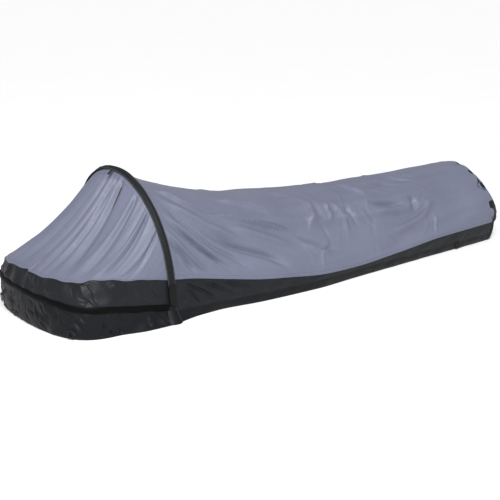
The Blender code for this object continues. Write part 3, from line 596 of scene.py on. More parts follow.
def all_materials():
    # painted shade: the tub wall gets a darker, less shiny copy of the charcoal nylon, standing in for the
    # shade low by the floor
    tub_painted_shade_colour = shade_of(DARK, 0.8)[:3]
    dark_cloth = {"crumple": 0.0028, "wear": 0.12}
    return {
        "pale": nylon("pale_nylon", PALE, 0.52, 0.05, crumple=0.0024),
        "dark": nylon("charcoal_nylon", DARK, 0.50, 0.012, shine=0.17, **dark_cloth),
        "tub": nylon("tub_nylon", tub_painted_shade_colour, 0.50, 0.008, shine=0.11, **dark_cloth),
        "flap": nylon("flap_nylon", (0.0010, 0.0010, 0.0012), 0.6, 0.0, ripstop=0.02, shine=0.07),
        "sleeve": nylon("sleeve_fabric", (0.0065, 0.0070, 0.0082), 0.62, 0.01, 0.0021, 0.0008, shine=0.14),
        "pocket": nylon("pocket_fabric", (0.0030, 0.0031, 0.0036), 0.55, 0.01, ripstop=0.0030, shine=0.15),
        "lining": nylon("tub_lining", (0.060, 0.062, 0.066), 0.5, 0.05),
        "tape": webbing("black_webbing", (0.006, 0.006, 0.007)),
        "binding": webbing("grey_binding", (0.022, 0.023, 0.027), 0.7, 0.0009),
        "dark_thread": thread("dark_thread", (0.012, 0.0125, 0.0145)),
        "net": netting("insect_net", (0.020, 0.020, 0.021)),
        "alloy": metal("pole_alloy", (0.66, 0.66, 0.68), 0.30),
        "slider": metal("slider_lacquer", (0.022, 0.022, 0.024), 0.36, 0.5, 300.0),
        "plastic": metal("tip_nylon", (0.020, 0.020, 0.022), 0.48, 0.0, 400.0),
        "elastic": webbing("braided_elastic", (0.045, 0.045, 0.050), 0.8, 0.0007),
    }


# ---- cloth simulation --------------------------------------------------------------------------------
BODY_GAP = 0.0010                # the filled body lies this far inside the cloth
SIM_GRID = (130, 79)             # rows and columns of the simulated cloth
SIM_GROWTH = 0.022               # most that the cloth is cut larger than the filled shape
SIM_FRAMES = 22
CLOTH_SETTINGS = {
    "quality": 7,
    "mass": 0.06,
    "tension_stiffness": 30.0,
    "compression_stiffness": 30.0,
    "shear_stiffness": 8.0,
    "bending_stiffness": 0.8,
    "tension_damping": 12.0,
    "compression_damping": 12.0,
    "air_damping": 3.0,
    "vertex_group_mass": "Pinned",
    "shrink_min": 0.0,
    "shrink_max": -SIM_GROWTH,
    "vertex_group_shrink": "Slack",
}


def cubic(values, positions):
    """Values along the first axis at fractional positions, on a cubic through the neighbours."""
    last = len(values) - 1
    k = np.clip(positions.astype(int), 0, last - 1)
    t = (positions - k).reshape((-1,) + (1,) * (values.ndim - 1))
    a, b = values[np.clip(k - 1, 0, last)], values[k]
    c, d = values[k + 1], values[np.clip(k + 2, 0, last)]
    return b + 0.5 * t * (c - a + t * (2 * a - 5 * b + 4 * c - d + t * (3 * (b - c) + d - a)))


def regridded(values, rows, columns):
    """A grid of values read at another number of rows and columns."""
    row_places = np.linspace(0, values.shape[0] - 1, rows)
    column_places = np.linspace(0, values.shape[1] - 1, columns)
    return cubic(cubic(values, row_places).transpose(1, 0, 2), column_places).transpose(1, 0, 2)


def settling_cloth(coarse, faces, slack):
    """Cloth held along its seams and cut larger by slack, a share of SIM_GROWTH at each place."""
    rows, columns = SIM_GRID
    made = mesh_object("settling", coarse.reshape(-1, 3), faces, bpy.data.materials[0])
    pinned = made.vertex_groups.new(name="Pinned")
    loose = made.vertex_groups.new(name="Slack")
    for i in range(rows):
        for j in range(columns):
            if i < 2 or i > rows - 3 or j < 2 or j > columns - 3:
                pinned.add([i * columns + j], 1.0, "REPLACE")
            loose.add([i * columns + j], slack(i / (rows - 1), j / (columns - 1)), "REPLACE")
    cloth = made.modifiers.new("Cloth", "CLOTH")
    for key, value in CLOTH_SETTINGS.items():
        setattr(cloth.settings, key, value)
    cloth.collision_settings.distance_min = 0.0015
    cloth.collision_settings.collision_quality = 2
    cloth.point_cache.frame_start, cloth.point_cache.frame_end = 1, SIM_FRAMES
    return made


def simulated(grid, slack, inside):
    """How far slack cloth settles from the grid onto the filled body just inside it."""
    rows, columns = SIM_GRID
    coarse = regridded(grid, rows, columns)
    faces = [face[:1] + face[:0:-1] for face in grid_faces(rows, columns)]
    made = settling_cloth(coarse, faces, slack)
    body_points = coarse - BODY_GAP * grid_normals(coarse, inside)
    body = mesh_object("filled_body", body_points.reshape(-1, 3), faces, bpy.data.materials[0])
    body.modifiers.new("Collision", "COLLISION")
    body.collision.thickness_outer = 0.0015
    body.collision.thickness_inner = 0.05
    body.collision.cloth_friction = 6.0
    scene = bpy.context.scene
    for frame_number in range(1, SIM_FRAMES + 1):
        scene.frame_set(frame_number)
    settled = made.evaluated_get(bpy.context.evaluated_depsgraph_get()).to_mesh()
    places = np.empty(rows * columns * 3)
    settled.vertices.foreach_get("co", places)
    moved = places.reshape(rows, columns, 3) - coarse
    for _ in range(3):
        for axis in (0, 1):
            before, after = np.roll(moved, 1, axis), np.roll(moved, -1, axis)
            moved = 0.5 * moved + 0.25 * (before + after)
    bpy.data.objects.remove(made)
    bpy.data.objects.remove(body)
    scene.frame_set(1)
    return regridded(moved, *grid.shape[:2])


# ---- the pale canopy ---------------------------------------------------------------------------------
CANOPY_X = (-0.621, X_FOOT)
CANOPY_ROWS = 330
CANOPY_COLUMNS = 221
SEAM_GAP = 0.0006                # the canopy starts this far over the seam line
NOTCH = 0.016                    # how far the canopy's end is cut back between its gathers
SLACK_SHOWN = 0.8                # share of the settled cloth's movement that is kept
LEAN_END = -0.102                # the canopy stops leaning with the hoop here
SACK_MIDDLE = (0.0, 0.0, 0.1)    # a place inside the sack, to tell outwards from inwards


def lean_at(x):
    """Lean of the cloth's cross section at x, from the hoop's own down to none."""
    return HOOP_LEAN * (1 - ramp((x - CANOPY_X[0]) / (LEAN_END - CANOPY_X[0])))


@functools.lru_cache(maxsize=4)
def canopy_line(x, count):
    """Evenly spaced points of the canopy's cross section at x, left seam to right seam."""
    right = half_section(float(x))
    low = seam_z(x) + SEAM_GAP
    upper = right[right[:, 1] > low]
    right = np.vstack([[section_width(x, low), low], upper])
    both = np.vstack([right * (-1, 1), right[:-1][::-1]])
    lean = lean_at(x)
    return np.array([(x + lean * (z - HOOP_FOOT), y, z) for y, z in resample(both, count)])


def foot_point(angle, side, z):
    """Point of the foot's outline at height z; angle is 0 in the middle and 90 at the side."""
    a = math.radians(angle)
    tucked = float(roll(z, SECTIONS["wall"][-1], SECTIONS["tuck"][-1]))
    out = (FOOT_DEPTH - tucked) * math.cos(a) ** (2 / FOOT_SQUARENESS)
    y = float(section_width(X_FOOT, z)) * math.sin(a) ** (2 / FOOT_SQUARENESS)
    return np.array((X_FOOT + out, side * y, z))


def foot_surface(share, t, bulge=0.030):
    """Point of the end panel: share runs left to right over the arch, t from arch to floor wall."""
    arch = canopy_line(X_FOOT, CANOPY_COLUMNS)
    low = seam_z(X_FOOT)
    k = share * (CANOPY_COLUMNS - 1)
    top = np.array([np.interp(k, range(CANOPY_COLUMNS), arch[:, c]) for c in range(3)])
    angle = 90 * (1 - 2 * share)
    foot = foot_point(min(abs(angle), 89.5), -1 if angle > 0 else 1, low)
    swollen = bulge * math.sin(math.pi * t) ** 0.4 * min(1.0, max(top[2] - low, 0.0) / 0.1)
    return top + (foot - top) * t + np.array((swollen, 0.0, 0.0))


# Folds of the left side as paths of (x, distance over the cloth from the ridge) points.
SHOULDER_CREASES = (  # path, height, width, lip: sharp folds behind the hoop
    (((-0.555, -0.105), (-0.497, -0.135), (-0.463, -0.162), (-0.392, -0.190)), 0.0060, 0.0060, -1),
    (((-0.416, -0.196), (-0.335, -0.196), (-0.245, -0.216), (-0.182, -0.229), (-0.030, -0.272)),
     0.0062, 0.0058, -1),
    (((-0.320, -0.085), (-0.251, -0.114), (-0.187, -0.132), (-0.077, -0.194)), 0.0056, 0.0056, -1),
)
SHOULDER_FOLDS = (  # path, height (negative for a valley), width: broad folds behind the hoop
    (((-0.581, -0.183), (-0.541, -0.234), (-0.460, -0.320), (-0.341, -0.382), (-0.276, -0.437)),
     -0.0050, 0.013),
    (((-0.470, -0.270), (-0.369, -0.320), (-0.281, -0.342), (-0.191, -0.372), (-0.107, -0.445)),
     -0.0090, 0.019),
    (((-0.590, -0.262), (-0.534, -0.309), (-0.485, -0.353), (-0.434, -0.384), (-0.356, -0.428)),
     -0.0055, 0.012),
    (((-0.605, -0.343), (-0.569, -0.380), (-0.545, -0.416), (-0.517, -0.449)), -0.0045, 0.010),
    (((-0.575, -0.150), (-0.500, -0.215), (-0.400, -0.270), (-0.280, -0.300)), 0.0065, 0.020),
    (((-0.598, -0.225), (-0.550, -0.275), (-0.470, -0.345), (-0.380, -0.410)), 0.0050, 0.014),
    (((-0.608, -0.300), (-0.570, -0.345), (-0.520, -0.400), (-0.470, -0.445)), 0.0042, 0.011),
    (((-0.350, -0.240), (-0.240, -0.275), (-0.140, -0.310), (-0.050, -0.350)), 0.0060, 0.022),
)
FILL_FOLDS = (  # path, height, width, lean: soft folds where the sack is filled
    (((0.063, -0.095), (0.085, -0.159), (0.063, -0.222), (0.040, -0.290)), 0.0075, 0.020, 0.5),
    (((0.105, -0.120), (0.120, -0.190), (0.105, -0.260)), -0.0060, 0.022, 0.0),
    (((0.300, 0.020), (0.377, -0.082), (0.418, -0.172)), 0.0070, 0.013, -0.4),
    (((0.360, -0.175), (0.428, -0.200), (0.528, -0.211), (0.575, -0.240)), -0.0070, 0.012, 0.3),
    (((0.380, -0.232), (0.450, -0.240), (0.520, -0.262)), 0.0060, 0.020, 0.0),
    (((0.705, -0.190), (0.685, -0.235), (0.650, -0.268), (0.593, -0.298), (0.410, -0.336)),
     0.0095, 0.016, 0.5),
    (((0.600, -0.180), (0.618, -0.225), (0.580, -0.262)), -0.0080, 0.015, 0.0),
    (((0.690, -0.280), (0.672, -0.340), (0.663, -0.390)), 0.0034, 0.006, 0.3),
    (((0.160, -0.130), (0.167, -0.180), (0.150, -0.260)), 0.0055, 0.010, 0.4),
    (((0.205, -0.120), (0.228, -0.234), (0.232, -0.320)), 0.0060, 0.013, -0.4),
    (((0.255, -0.170), (0.270, -0.240), (0.290, -0.290)), -0.0050, 0.012, 0.0),
    (((-0.060, -0.285), (0.023, -0.333), (0.073, -0.364), (0.150, -0.374)), -0.0060, 0.010, 0.4),
    (((-0.040, -0.320), (0.040, -0.370), (0.110, -0.395)), 0.0050, 0.014, 0.0),
    (((0.520, 0.000), (0.600, -0.040), (0.675, -0.095), (0.720, -0.125)), 0.0055, 0.010, 0.4),
    (((0.480, -0.060), (0.560, -0.085), (0.620, -0.130)), -0.0050, 0.012, 0.0),
    (((-0.180, -0.004), (-0.112, -0.043), (-0.012, -0.064), (0.060, -0.104)), -0.0070, 0.014, 0.4),
)
FOLD_SIDES = ((1, 0.0, 1.0), (-1, 0.035, 0.5))   # side, shift and strength: the right side's are weaker
CREASE_SCALE = (3.3, 0.62)       # all creases: height and width
SHOULDER_SCALE = (2.7, 0.8)
FILL_SCALE = (2.1, 0.85)
SCALLOPS = 9                     # gathers along the canopy's end seam
FILL_RANGE = (-0.05, 0.72, -0.42, 0.42)
LONG_WRINKLES = {"area": FILL_RANGE, "spread": 0.6, "length": 0.16, "width": 0.010, "height": 0.0042}
SHORT_WRINKLES = {"area": (-0.10, 0.75, -0.42, 0.42), "spread": 0.9, "length": 0.09, "width": 0.006,
                  "height": 0.0022}
SHOULDER_WRINKLES = {"area": (-0.60, -0.25, -0.46, 0.46), "spread": 0.16, "length": 0.20, "width": 0.007,
                     "height": 0.0018}


def canopy_folds(u, v):
    """Height of the canopy's folds at cloth places (x, signed distance from the ridge)."""
    h = np.zeros(u.shape)
    for mirrored, shift, share in FOLD_SIDES:
        side = v * mirrored
        for path, height, width, lip in SHOULDER_CREASES:
            moved = [(a + shift, b * (1 - 0.8 * shift)) for a, b in path]
            h += share * CREASE_SCALE[0] * crease(u, side, moved, height, CREASE_SCALE[1] * width, lip)
        for path, height, width in SHOULDER_FOLDS:
            moved = [(a + 0.3 * shift, b + shift) for a, b in path]
            wide = SHOULDER_SCALE[1] * width
            h += share * SHOULDER_SCALE[0] * fold(u, side, moved, height, wide, 0.2, 0.35)
        for path, height, width, lean in FILL_FOLDS:
            moved = [(a - 2.2 * shift, b * (1 + shift)) for a, b in path]
            h += share * FILL_SCALE[0] * fold(u, side, moved, height, FILL_SCALE[1] * width, lean, 0.4)
    return h


def canopy_slack(i, j):
    """Share of extra cloth: taut behind the hoop, slack where the sack is filled."""
    waves = math.sin(17 * i + 5 * math.sin(9 * j)), math.sin(13 * j + 4 * math.sin(11 * i) + 1.0)
    uneven = 0.55 + 0.45 * waves[0] * waves[1]
    filled = float(ramp((i - 0.22) / 0.25)) * (1 - 0.75 * float(ramp((i - 0.80) / 0.12)))
    return 0.15 + 0.85 * filled * uneven


def canopy_wrinkles(u, v):
    """Height of all folds and wrinkles but the gathers, at cloth places."""
    h = canopy_folds(u, v)
    filled = ramp((u + 0.20) / 0.25) * (1 - 0.75 * ramp((u - 0.68) / 0.15))
    taut = 1 - ramp((u + 0.30) / 0.2)
    h += 0.0035 * swell(u, v, 0.20) * ramp((u + 0.45) / 0.3)
    h += scattered(u, v, 70, angle=lambda a, b: 1.2 * np.sign(-b) + 0.3, **LONG_WRINKLES) * filled
    h += scattered(u, v, 60, angle=0.4, **SHORT_WRINKLES) * filled
    h *= 0.15 + 0.85 * ramp(np.abs(v) / 0.11)
    return h + scattered(u, v, 46, angle=lambda a, b: 0.95 * np.sign(b), **SHOULDER_WRINKLES) * taut


def turned_end(gathered, q, lift, back):
    """Rows of the canopy's end over the foot panel, deeper in the gathers."""
    depth = 0.006 + 0.13 * ramp((gathered - 0.50) / 0.32) * (0.6 + 0.4 * np.sin(11 * q + 0.6))
    rows = []
    for k in range(1, 11):
        row = []
        for j in range(CANOPY_COLUMNS):
            point = foot_surface(j / (CANOPY_COLUMNS - 1), depth[j] * k / 10)
            over = (1 - k / 10) * lift[j] + 0.0016
            row.append(point + over * np.array((0.7, 0.0, 0.5)) - np.array((back[j], 0.0, 0.0)))
        rows.append(row)
    return np.array(rows)


def canopy():
    """The pale cloth from the hoop to the foot: folded, settled, and gathered at its end seam."""
    near_hoop = np.linspace(CANOPY_X[0], -0.50, 60)[:-1]
    xs = np.concatenate([near_hoop, np.linspace(-0.50, X_FOOT, CANOPY_ROWS - 59)])
    grid = np.array([canopy_line(x, CANOPY_COLUMNS) for x in xs])
    arcs = np.array([path_length(row) for row in grid])
    q = np.linspace(-0.5, 0.5, CANOPY_COLUMNS)
    u = xs[:, None] * np.ones(CANOPY_COLUMNS)
    h = canopy_wrinkles(u, arcs[:, None] * q)
    gathered = np.abs(np.sin((q + 0.5) * SCALLOPS * math.pi + 0.5 * np.sin(9 * q)))
    h += ramp((u - (X_FOOT - 0.10)) / 0.10) * (0.0050 * gathered - 0.0030)
    # held flat at the hoop and at the side seams
    reach = (0.5 - np.abs(q)) * arcs[:, None]
    h *= ramp(reach / 0.035) * ramp((u - CANOPY_X[0]) / 0.020)
    slack = SLACK_SHOWN * simulated(grid, canopy_slack, SACK_MIDDLE)
    grid = grid + grid_normals(grid, SACK_MIDDLE) * h[..., None] + slack
    # cut back between the gathers
    open_share = 1 - ramp((gathered - 0.35) / 0.30)
    back = ramp((u - X_FOOT + 0.07) / 0.07) * open_share * NOTCH * (np.abs(q) < 0.46)
    grid[..., 0] -= back
    return np.concatenate([grid, turned_end(gathered, q, h[-1], back[-1])])


# ---- dark walls --------------------------------------------------------------------------------------
WALL_SPLIT = 0.036               # the tub's wall meets the side walls' fabric at this height
WALL_MIDDLE = (0.0, 0.0, 0.06)
WALL_FOLDS = (  # path of (x, z) points, height, width, lip: sharp folds behind the hoop
    (((-0.590, 0.140), (-0.545, 0.108), (-0.500, 0.085), (-0.440, 0.040)), 0.0060, 0.0055, 1),
    (((-0.575, 0.118), (-0.530, 0.070), (-0.500, 0.030)), 0.0050, 0.0050, -1),
    (((-0.520, 0.128), (-0.450, 0.095), (-0.390, 0.060), (-0.340, 0.045)), 0.0055, 0.0060, 1),
    (((-0.430, 0.108), (-0.360, 0.090), (-0.280, 0.060)), 0.0045, 0.0060, 1),
)


def side_wall_folds(x, z):
    """Height of the side wall's folds at places (x, z)."""
    h = np.zeros(x.shape)
    for path, height, width, lip in WALL_FOLDS:
        h += crease(x, z, path, height, width, lip)
    h += scattered(x, z, 30, (-0.60, -0.15, 0.02, 0.13), -0.75, 0.35, 0.10, 0.006, 0.0030)
    h += scattered(x, z, 22, (-0.20, 0.95, 0.01, 0.08), -0.25, 0.5, 0.16, 0.009, 0.0018)
    return h + 0.0012 * swell(x, z, 0.09)


def side_wall(side):
    """Dark cloth between the tub's wall and the canopy, on one side."""
    xs = np.concatenate([np.linspace(CANOPY_X[0], -0.30, 170)[:-1], np.linspace(-0.30, X_FOOT, 200)])
    low = WALL_SPLIT - 0.002
    grid = []
    for x in xs:
        z = np.linspace(low, seam_z(x) - 0.0004, 41)
        leaning = x + lean_at(x) * np.maximum(z - HOOP_FOOT, 0.0)
        grid.append(np.column_stack([leaning, side * section_width(x, z), z]))
    grid = np.array(grid)
    z = grid[..., 2]
    x = xs[:, None] * np.ones(z.shape)
    h = side_wall_folds(x + (0.03 if side > 0 else 0.0), z)
    hold = ramp((z[:, -1:] - z) / 0.012) * ramp((z - low) / 0.020)
    hold = hold * ramp((x - CANOPY_X[0]) / 0.012) * ramp((X_FOOT - x) / 0.02)
    return grid + grid_normals(grid, WALL_MIDDLE) * (h * hold)[..., None]


def tub_stations():
    """(kind, place, side) round the tub, counted from the left foot of the hoop round the head."""
    head = [("head", s, side) for s, side in head_walk(HEAD_STATIONS - 1)]
    right = [("body", x, 1) for x in np.linspace(X_HOOP + 0.004, X_FOOT - 0.004, 260)]
    foot = [("foot", a, 1) for a in np.linspace(90, 0, 46)]
    tail = [("foot", a, -1) for a in np.linspace(0, 90, 46)[1:]]
    return head + right + foot + tail + [("body", x, -1) for _, x, _ in right[::-1]]


def tub_height(kind, place):
    """Height of the tub's wall: to the zip at the head, to the seam at the foot, low in between."""
    if kind == "head":
        return float(zip_height(head_plan(place)[0][0])) - 0.0035
    if kind == "foot":
        return seam_z(X_FOOT) - SEAM_GAP
    near_foot = float(ramp((place - X_FOOT + 0.030) / 0.026))
    near_hoop = float(ramp((X_HOOP + 0.020 - place) / 0.016))
    return WALL_SPLIT + near_foot * (seam_z(X_FOOT) - WALL_SPLIT) + near_hoop * 0.010


def wall_point(kind, place, side, z):
    """Point of the tub's wall at one of its stations, at height z."""
    if kind == "head":
        return head_point(place, side, z)
    if kind == "foot":
        return foot_point(min(place, 89.9), side, z)
    return np.array((place, side * float(section_width(place, z)), z))


HEAD_STATIONS = 361
TUB_ROWS = 34
TUB_CREASES = {"spread": 0.5, "length": 0.075, "width": 0.0050, "height": 0.0062}
TUB_WAVES = {"spread": 0.7, "length": 0.12, "width": 0.009, "height": 0.0016}


def tub():
    """The dark wall round the whole sack, from the floor up, creased most round the head."""
    stations = tub_stations()
    grid = np.zeros((TUB_ROWS, len(stations), 3))
    for j, (kind, place, side) in enumerate(stations):
        top = tub_height(kind, place)
        inset = 0.0010 if kind == "body" and place > X_FOOT - 0.03 else 0.0
        for i in range(TUB_ROWS):
            point = wall_point(kind, place, side, top * (i / (TUB_ROWS - 1)) ** 1.25)
            grid[i, j] = point - np.array((0.0, side * inset, 0.0))
    along = distances(grid[-1]) * np.ones((TUB_ROWS, 1))
    z = grid[..., 2]
    head_end = path_length(grid[-1, :HEAD_STATIONS])
    middle = 0.5 * head_end
    area = (0.03, head_end - 0.03, 0.0, 0.09)
    h = scattered(along, z, 130, area, lambda a, b: 0.9 if a < middle else -0.9, **TUB_CREASES)
    h = h * (along < head_end)
    area = (head_end, float(along.max()), 0.0, 0.05)
    h += scattered(along, z, 40, area, 0.3, **TUB_WAVES)
    h += 0.0022 * swell(along, z, 0.085) * (along < head_end)
    h += 0.0008 * swell(along, z, 0.10)
    # held at the floor, the zip and the hoop's feet, and nearly flat at the middle of the head
    hold = ramp(z / 0.012) * ramp((grid[-1:, :, 2] - z) / 0.016)
    hold = hold * (0.35 + 0.65 * ramp(np.abs(along - middle) / 0.1))
    quiet = ramp(np.abs(along - head_end) / 0.03)
    return grid + grid_normals(grid, WALL_MIDDLE) * (h * hold * quiet)[..., None]


def tub_floor(ring):
    """Floor grid inside the lowest ring of the tub, from head to foot, slightly uneven."""
    xs = np.linspace(ring[:, 0].min() + 0.001, ring[:, 0].max() - 0.001, 150)
    grid = np.zeros((len(xs), 61, 3))
    for i, x in enumerate(xs):
        widths = []
        for side in (-1, 1):
            half = ring[ring[:, 1] * side > -1e-6]
            near = half[np.argsort(np.abs(half[:, 0] - x))[:2]]
            widths.append(float(near[:, 1].mean()))
        y = np.linspace(widths[0], widths[1], 61)
        grid[i] = np.column_stack([np.full(61, x), y, np.full(61, 0.0012)])
    bumps = 0.0014 * np.abs(swell(grid[..., 0], grid[..., 1], 0.16))
    grid[..., 2] += bumps * (1 - np.linspace(-1, 1, 61) ** 8)
    return grid


END_INSETS = ((0.024, 0.0100), (0.014, 0.0055), (0.004, 0.0022))  # way back, depth under the canopy
END_CREASES = {"area": (0.05, 0.75, 0.0, 0.2), "spread": 0.3, "length": 0.12, "width": 0.010,
               "height": 0.0040}


def foot_panel_grid():
    """The dark end panel, with a hem that runs back under the canopy."""
    rows, columns = 41, 181
    places = np.linspace(0.012, 0.988, columns)
    grid = np.array([[foot_surface(share, t) for share in places] for t in np.linspace(0.0, 0.985, rows)])
    t, q = shares(rows, columns)
    gathers = 0.0025 * np.abs(np.sin(q * SCALLOPS * math.pi)) * (1 - t) ** 2
    h = gathers + scattered(q * 0.8, t * 0.2, 26, angle=1.4, **END_CREASES)
    hold = ramp(t / 0.1) * ramp((1 - t) / 0.1) * ramp(q / 0.05) * ramp((1 - q) / 0.05)
    grid = grid + np.array((1.0, 0.0, 0.0)) * (h * hold)[..., None]
    hem = []
    for back, inset in END_INSETS:
        line = canopy_line(X_FOOT - back, CANOPY_COLUMNS)
        inward = unit((line - np.array((0.0, 0.0, 0.15))) * (0, 1, 1))
        hem.append(cubic(line - inward * inset, places * (CANOPY_COLUMNS - 1)))
    return np.concatenate([np.array(hem), grid])


# ---- the hood ----------------------------------------------------------------------------------------
FRONT_COLUMNS = 341
FRONT_ROWS = 81
FRONT_START = 0.010              # where the front panel's outline leaves the hoop, as outline share
HEAD_MIDDLE = (-0.6, 0.0, 0.1)
FRONT_VALLEYS = (  # (share at the hoop, share at the seam, height, width) of the panel's stretch folds
    (0.455, 0.395, -0.0085, 0.0120), (0.425, 0.345, -0.0075, 0.0130), (0.476, 0.435, -0.0060, 0.0090),
    (0.330, 0.285, -0.0050, 0.0110), (0.250, 0.215, -0.0045, 0.0100), (0.180, 0.150, -0.0040, 0.0080),
    (0.545, 0.565, -0.0070, 0.0120), (0.590, 0.630, -0.0070, 0.0120), (0.660, 0.700, -0.0050, 0.0110),
    (0.745, 0.780, -0.0045, 0.0100), (0.510, 0.495, -0.0055, 0.0090), (0.820, 0.850, -0.0040, 0.0080),
)
FINE_FOLDS = 56                  # faint folds fanned over the front panel


def seam_wave(s, side):
    """Small ups and downs of the head seam, where the band is gathered."""
    waves = 0.0022 * math.sin(19 * s + side) + 0.0014 * math.sin(43 * s + 2 * side)
    return (1.4 if side > 0 else 1.0) * waves * float(ramp(s / 0.2))


def head_seam(s, side):
    """Height of the head's seam; the right corner of the head hangs lower."""
    z = seam_z(head_plan(s)[0][0])
    if side > 0:
        depth, middle, spread = SEAM_DROP
        z = z - depth * math.exp(-(((s - middle) / spread) ** 2))
    return z + seam_wave(s, side)


def ruled(ahead, inset, seam_inset, columns, rows, spread, sag=HEAD_PANEL_SAG, drop=0.0):
    """Grid stretched from the hoop to the head's seam, dipping in between."""
    line = hoop_line(-inset)
    arch = resample(line[line[:, 1] > seam_z(X_HOOP)], 400)
    walk = head_walk(600, FRONT_START)
    seam = [head_point(s, side, head_seam(s, side) - drop, -seam_inset) for s, side in walk]
    seam = resample(np.array(seam), 400)
    grid = np.zeros((rows, columns, 3))
    for j, u in enumerate(np.linspace(spread[0], spread[1], columns)):
        k = u * 399
        y, z = (np.interp(k, range(400), arch[:, c]) for c in (0, 1))
        top = np.array((hoop_x(z) - ahead, y, z))
        end = np.array([np.interp(k, range(400), seam[:, c]) for c in (0, 1, 2)])
        span = float(np.linalg.norm(end - top))
        t = np.linspace(0.0, 1.0, rows)[:, None]
        dip = sag * min(1.0, span / 0.3) * np.sin(math.pi * t)
        grid[:, j] = top + (end - top) * t + dip * np.array((0.68, 0.0, -0.73))
    return grid


def bell(distance, width):
    return np.exp(-((distance / width) ** 2))


def front_folds(t, q):
    """Height of the front panel's folds; t runs from the hoop to the seam, q from left to right."""
    h = np.zeros(q.shape)
    for start, end, height, width in FRONT_VALLEYS:
        middle = start + (end - start) * t ** 0.9
        wide = width * (0.65 + 0.8 * t)
        h += 1.7 * height * bell(q - middle, wide) * ramp(t / 0.12) * ramp((1.06 - t) / 0.35)
        lip = middle + 1.9 * wide * np.sign(0.5 - start)
        h -= 0.8 * height * bell(q - lip, 0.9 * wide) * ramp(t / 0.15) * ramp((1.04 - t) / 0.3)
    for _ in range(FINE_FOLDS):
        start = RNG.uniform(0.04, 0.96)
        end = start + (start - 0.5) * RNG.uniform(0.0, 0.16) + RNG.normal(0, 0.012)
        reach, origin = RNG.uniform(0.25, 0.6), RNG.uniform(0.0, 1.0)
        tall = RNG.uniform(0.0008, 0.0022) * (1 if RNG.random() < 0.5 else -1)
        middle = start + (end - start) * t
        h += tall * bell(q - middle, RNG.uniform(0.004, 0.009)) * bell(t - origin, reach)
    return h


def front_panel():
    """The pale panel stretched from the hoop to the head's seam."""
    grid = ruled(0.006, 0.004, -0.0012, FRONT_COLUMNS, FRONT_ROWS, (0.0, 1.0))
    t, q = shares(FRONT_ROWS, FRONT_COLUMNS)
    span = np.linalg.norm(grid[-1] - grid[0], axis=1)[None, :]
    h = front_folds(t, q)
    hold = ramp(t / 0.05) * ramp((1 - t) / 0.03) * np.minimum(span / 0.25, 1.0)
    hold = hold * ramp(q / 0.04) * ramp((1 - q) / 0.04)
    return grid + grid_normals(grid, HEAD_MIDDLE) * (h * hold)[..., None]


BAND_ROWS = 33
BAND_CREASES = {"spread": 0.5, "length": 0.07, "width": 0.0050, "height": 0.0040}


def head_band():
    """The dark band between the zip and the front panel, gathered along its upper seam."""
    walk = head_walk(520, 0.012)
    grid = np.zeros((BAND_ROWS, len(walk), 3))
    for j, (s, side) in enumerate(walk):
        low = float(zip_height(head_plan(s)[0][0])) + 0.002
        for i, z in enumerate(np.linspace(low, head_seam(s, side), BAND_ROWS)):
            grid[i, j] = head_point(s, side, z)
    along = distances(grid[-1]) * np.ones((BAND_ROWS, 1))
    t, _ = shares(*along.shape)
    length = float(along.max())
    z, middle = grid[..., 2], 0.5 * length
    area = (0.02, length - 0.02, 0.06, 0.19)
    h = scattered(along, z, 120, area, lambda a, b: 0.8 if a < middle else -0.8, **BAND_CREASES)
    h += 0.0026 * swell(along, z, 0.075)
    gathers = 0.0016 * np.abs(np.sin(along / 0.021 + 1.3 * np.sin(along * 9))) * t**3
    hold = ramp(t / 0.25) * ramp((1 - t) / 0.12)
    edge = ramp(along / 0.05) * ramp((length - along) / 0.05)
    return grid + grid_normals(grid, HEAD_MIDDLE) * ((h * hold + gathers) * edge)[..., None]


def head_tape(low, high, inset, rows, count, start, above_zip=True):
    """Plain strip round the head between two heights over the zip line (or over the seam line)."""
    grid = []
    for z_share in np.linspace(0.0, 1.0, rows):
        row = []
        for s, side in head_walk(count, start):
            x = head_plan(s)[0][0]
            base = float(zip_height(x)) if above_zip else head_seam(s, side)
            row.append(head_point(s, side, base + low + (high - low) * z_share, -inset))
        grid.append(row)
    return np.array(grid)


def oval(count, sharp_up=1.0, sharp_out=1.0):
    """(out, up) pairs round a squared circle."""
    pairs = []
    for k in range(count):
        c, d = math.cos(2 * math.pi * k / count), math.sin(2 * math.pi * k / count)
        pairs.append((math.copysign(abs(c) ** sharp_out, c), math.copysign(abs(d) ** sharp_up, d)))
    return pairs


FLAP_SIDES = 26
FLAP_HALF = 0.0102               # half of the flap's height
FLAP_THICK = 0.0022              # half of its thickness


def storm_flap():
    """Folded strip over the zip: thin at its edges and full in the middle."""
    walk = head_walk(420, 0.030)
    line = np.array([head_plan(s)[0] * (1, side) for s, side in walk])
    grid = np.zeros((FLAP_SIDES, len(walk), 3))
    for j, ((s, side), along) in enumerate(zip(walk, distances(line))):
        middle = float(zip_height(line[j, 0])) + 0.0004
        middle += 0.0010 * math.sin(31 * along) + 0.0006 * math.sin(77 * along + 1)
        narrow = 1 - 0.22 * float(ramp((s - 0.75) / 0.25)) * (1 if side > 0 else 0.5)
        tall = FLAP_HALF * narrow * (1 + 0.05 * math.sin(53 * along))
        thick = FLAP_THICK * (1 + 0.25 * math.sin(41 * along + 2))
        for i, (c, d) in enumerate(oval(FLAP_SIDES, 0.85, 0.8)):
            level = abs(math.sin(2 * math.pi * i / FLAP_SIDES))
            out = 0.0028 + thick * c + 0.0006 * (1 - level)
            grid[i, j] = head_point(s, side, middle + d * tall, out)
    return grid


